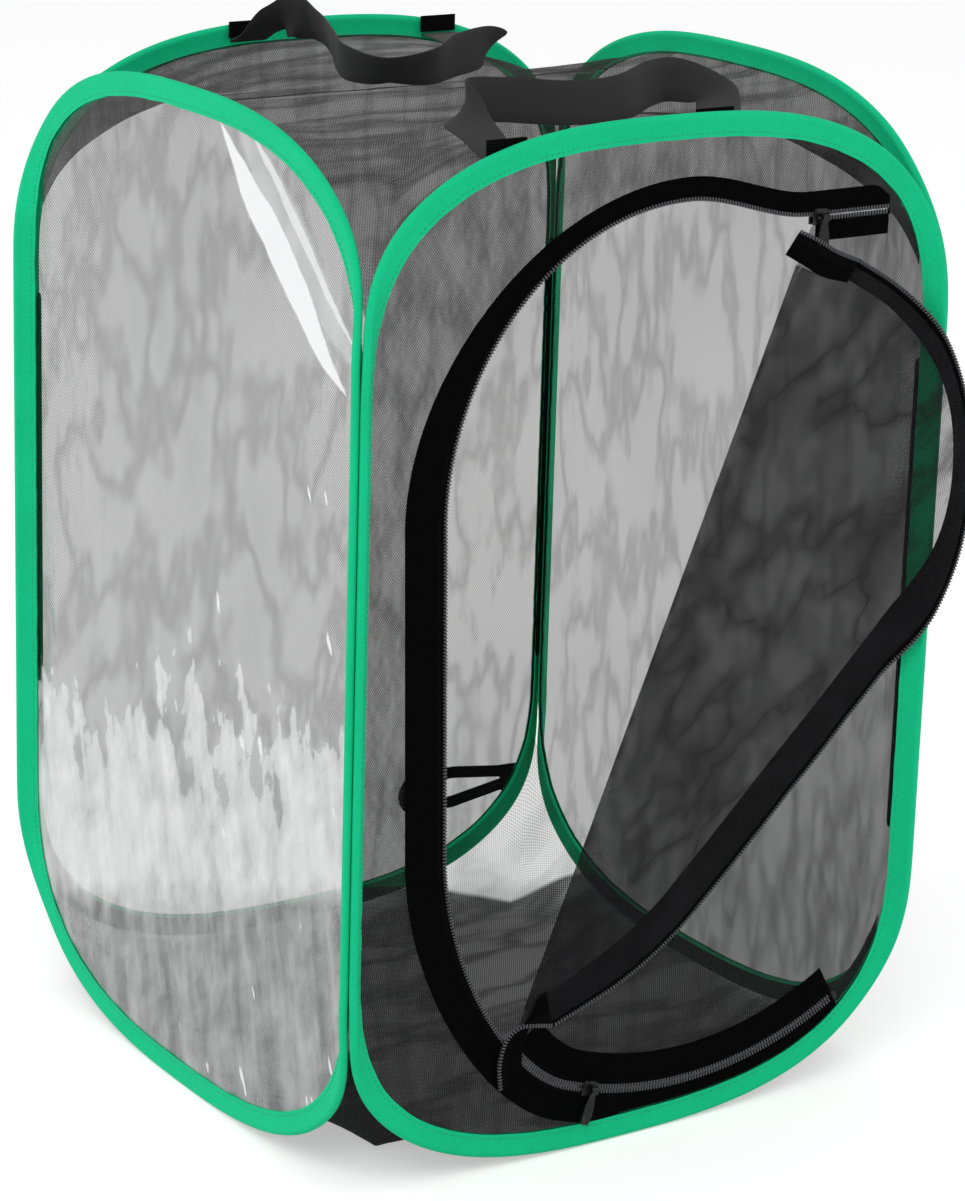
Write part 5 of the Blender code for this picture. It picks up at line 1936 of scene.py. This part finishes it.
@dataclass
class CarryHandle:
    """A handle of flat webbing with rounded selvedges, swept along the same route as its solid."""

    side: Side
    ends: tuple[float, float]
    route: Sequence[tuple[float, ...]]
    last_way: float
    width: float = 25 * MM
    thick: float = 1.5 * MM
    steps: int = 12
    lean: tuple[float, float] = (0.866, 0.5)
    kept_share: float = 0.06

    def seam_y(self) -> float:
        """Plane of the sewn ends."""
        inside = CAGE.panel_y - CAGE.half_bulge - 2 * CAGE.gap - 1.5 * self.thick
        return -inside if self.side is Side.FRONT else inside

    def seam_z(self, x: float) -> float:
        """Height at which the webbing leaves the loop.

        Args:
            x: The end's place across the side.

        Returns:
            The height in metres.
        """
        highest = max(0.0, abs(x) - self.width / 2)
        edge = CAGE.height - CAGE.seam_rise(CAGE.loop_half - highest)
        return edge + 1.5 * self.thick + CAGE.net + CAGE.gap * 2

    def keys(self) -> list[tuple[Vector, Vector]]:
        """Points of the route, each with the webbing's way across."""
        y = self.seam_y()
        left, right = self.ends
        made = [(Vector((left, y, self.seam_z(left))), Vector((1.0, 0.0, 0.0)))]
        for dx, dy, dz, *way in self.route:
            made.append((Vector((left + dx * MM, y + dy * MM, CAGE.height + dz * MM)), Vector(way).normalized()))
        return made + [(Vector((right, y, self.seam_z(right))), Vector((self.last_way, 0.0, 0.0)))]

    def build(self) -> Object:
        """Make the handle.

        Returns:
            The piece.
        """
        route, facing = (smooth_route(points, self.steps) for points in zip(*self.keys()))
        quarter = ((0.5, 0.15), (0.46, 0.5), (0.2, 0.5))
        section = [(-a, b) for a, b in quarter] + list(quarter[::-1])
        section += [(a, -b) for a, b in quarter] + [(-a, -b) for a, b in quarter[::-1]]
        rings, runs = [], []
        for i, point in enumerate(route):
            runs.append(runs[-1] + (point - route[i - 1]).length if i else 0.0)
            tangent = route[min(i + 1, len(route) - 1)] - route[max(i - 1, 0)]
            if i in (0, len(route) - 1):
                tangent = tangent - facing[i] * tangent.dot(facing[i])
            tangent.normalize()
            wide = (facing[i] - tangent * facing[i].dot(tangent)).normalized()
            flat = tangent.cross(wide)
            rings.append([point + wide * a * self.width + flat * b * self.thick for a, b in section])
        places = [(a + 0.5) * self.width for a, _ in section]
        title = self.side.title
        obj = swept(f"{title}_carry_handle", rings, runs, places + places[:1], WEBBING)
        join(obj, f"{title}_handle_body", "black_webbing", f"{title}_handle")
        seam = (route[0] + route[-1]) / 2
        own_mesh(obj)
        LOG.info("%s: run of %.0f mm", obj.name, runs[-1] / MM)
        return obj


# Each row: how far right of the left end, how far back of the seam and how far above the loops, in
# millimetres, then the webbing's way across.
FRONT_ROUTE = (
    (4, 28, -10, 1.00, 0.05, 0.10), (10, 54, -4, 0.85, 0.15, 0.45), (23, 70, 1, 0.35, 0.25, 0.90),
    (43, 67, 1, 0.05, 0.35, 0.93), (75, 48, 0, 0.00, 0.42, 0.91), (108, 47, 1, 0.05, 0.40, 0.92),
    (142, 68, 3, 0.15, 0.33, 0.93), (167, 78, 2, 0.45, 0.15, 0.88), (182, 62, -3, 0.85, 0.15, 0.45),
    (164, 32, -8, 0.95, -0.20, 0.10))
BACK_ROUTE = (
    (-5, -22, -3, 1.00, 0.00, 0.00), (-1, -38, 8, 0.80, -0.40, -0.20), (12, -50, 8, 0.30, -0.60, -0.70),
    (8, -78, 4, 0.20, -0.30, -0.93), (-16, -128, 3, 0.20, 0.10, -0.97), (-30, -164, 2, 0.35, 0.45, -0.82),
    (-23, -192, 1, 0.25, 0.70, -0.65), (4, -198, 2, 0.05, 0.45, -0.88), (36, -176, 3, 0.00, 0.00, -1.00),
    (65, -158, 3, -0.30, -0.20, -0.92), (85, -140, 1, -0.80, 0.00, -0.55), (95, -105, -4, -0.95, 0.20, -0.15),
    (119, -48, -10, -0.97, 0.20, -0.05))


# Studio


@dataclass
class Studio:
    """Floor, light and camera."""

    azimuth: float = -33.545
    elevation: float = 16.578
    distance: float = 2.279
    focal_px: float = 3788.7
    shift_px: tuple[float, float] = (-20.43, -41.85)
    roll: float = 1.612
    target: tuple[float, float, float] = (0.0, 0.0, 0.300)
    sensor: float = 36.0
    floor_glow: float = 0.42
    room_light: float = 0.55

    def floor(self) -> None:
        """A plain pale floor that keeps the cage's shadow."""
        bpy.ops.object.select_all(action="DESELECT")
        bpy.ops.mesh.primitive_plane_add(size=30.0, location=(0.0, 0.0, -0.6 * MM))
        obj = bpy.context.object
        obj.name = "studio_floor"
        made = bpy.data.materials.new("floor_paint")
        made.use_nodes = True
        paint = Paint(made.node_tree)
        paint.surface(Base_Color=(0.93, 0.93, 0.93, 1.0), Roughness=0.9, Specular_IOR_Level=0.1,
                      Emission_Color=(1.0, 1.0, 1.0, 1.0), Emission_Strength=paint.seen() * self.floor_glow)
        obj.data.materials.append(made)

    def world(self) -> None:
        """Even pale surroundings, white where they are seen."""
        world = bpy.data.worlds.new("studio_world")
        bpy.context.scene.world = world
        world.use_nodes = True
        paint = Paint(world.node_tree, "Background")
        paint.surface(Color=(1.0, 1.0, 1.0, 1.0),
                      Strength=paint.seen() * (1.0 - self.room_light) + self.room_light)

    def lamp(self, name: str, place: tuple[float, float, float], size: tuple[float, float], power: float) -> None:
        """Add a soft rectangular lamp aimed at the cage.

        Args:
            name: Its name.
            place: Where it stands.
            size: Its width and height.
            power: Its power in watts.
        """
        bpy.ops.object.select_all(action="DESELECT")
        bpy.ops.object.light_add(type="AREA", location=place)
        obj = bpy.context.object
        obj.name = name
        obj.data.shape = "RECTANGLE"
        obj.data.size, obj.data.size_y = size
        obj.data.energy = power
        obj.rotation_euler = (Vector(self.target) - Vector(place)).to_track_quat("-Z", "Y").to_euler()

    def camera(self) -> None:
        """The camera at the photographed angle."""
        a, e = math.radians(self.azimuth), math.radians(self.elevation)
        back = Vector((math.sin(a) * math.cos(e), -math.cos(a) * math.cos(e), math.sin(e)))
        data = bpy.data.cameras.new("studio_camera")
        obj = bpy.data.objects.new("studio_camera", data)
        bpy.context.scene.collection.objects.link(obj)
        obj.location = Vector(self.target) + back * self.distance
        look = (-back).to_track_quat("-Z", "Y").to_matrix().to_4x4()
        obj.rotation_euler = (look @ Matrix.Rotation(math.radians(self.roll), 4, "Z")).to_euler()
        data.sensor_width = self.sensor
        data.lens = self.focal_px / IMAGE_HEIGHT * self.sensor
        data.shift_x = -self.shift_px[0] / IMAGE_HEIGHT
        data.shift_y = self.shift_px[1] / IMAGE_HEIGHT
        data.clip_start, data.clip_end = 0.05, 60.0
        bpy.context.scene.camera = obj

    def build(self) -> None:
        """Set the scene."""
        self.floor()
        self.world()
        self.lamp("key_lamp", (-1.6, -1.7, 2.2), (1.6, 1.6), 26.0)
        self.lamp("fill_lamp", (2.2, -1.6, 1.6), (1.6, 1.6), 12.0)
        self.lamp("film_lamp", (-2.4, 1.7, 0.9), (0.8, 2.2), 22.0)
        self.camera()
        bpy.context.scene.view_settings.view_transform = "Standard"


def dress_solids() -> None:
    """Give each solid that stays its finish."""
    finishes = {"seam": SEAM_CLOTH, "ferrule": WIRE, "stop": ZIP_METAL, "slider": ZIP_METAL, "pull": ZIP_METAL,
                "handle_end": SEWN_WEBBING, "strap": SEWN_WEBBING}
    for name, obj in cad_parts.items():
        finish = next((finish for word, finish in finishes.items() if word in name), None)
        if finish:
            obj.data.materials.clear()
            obj.data.materials.append(finish.build())
            LOG.info("solid %s: %s", name, finish.name)


def main() -> None:
    """Build and dress the cage in its studio."""
    bpy.ops.object.select_all(action="DESELECT")
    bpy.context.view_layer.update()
    dress_solids()
    for side in Side:
        BindingLoop(side).build()
    SideSheet("window_film_sheet", Side.LEFT, FILM, "window_film", "clear_film",
              relief=3.0 * MM, seed=23.0).build()
    SideSheet("right_mesh", Side.RIGHT, SIDE_NET, "right_net", seed=33.0).build()
    SideSheet("back_mesh", Side.BACK, SIDE_NET, "back_net", seed=43.0).build()
    LevelSheet("roof_mesh", ROOF_NET, roof_height, "roof_net").build()
    LevelSheet("floor_mesh", FLOOR_NET, floor_height, "floor_net").build()
    ZippedDoor().build()
    CarryHandle(Side.FRONT, (-0.103, 0.033), FRONT_ROUTE, 1.0).build()
    CarryHandle(Side.BACK, (-0.045, 0.094), BACK_ROUTE, -1.0).build()
    Studio().build()


if __name__ == "__main__":
    main()
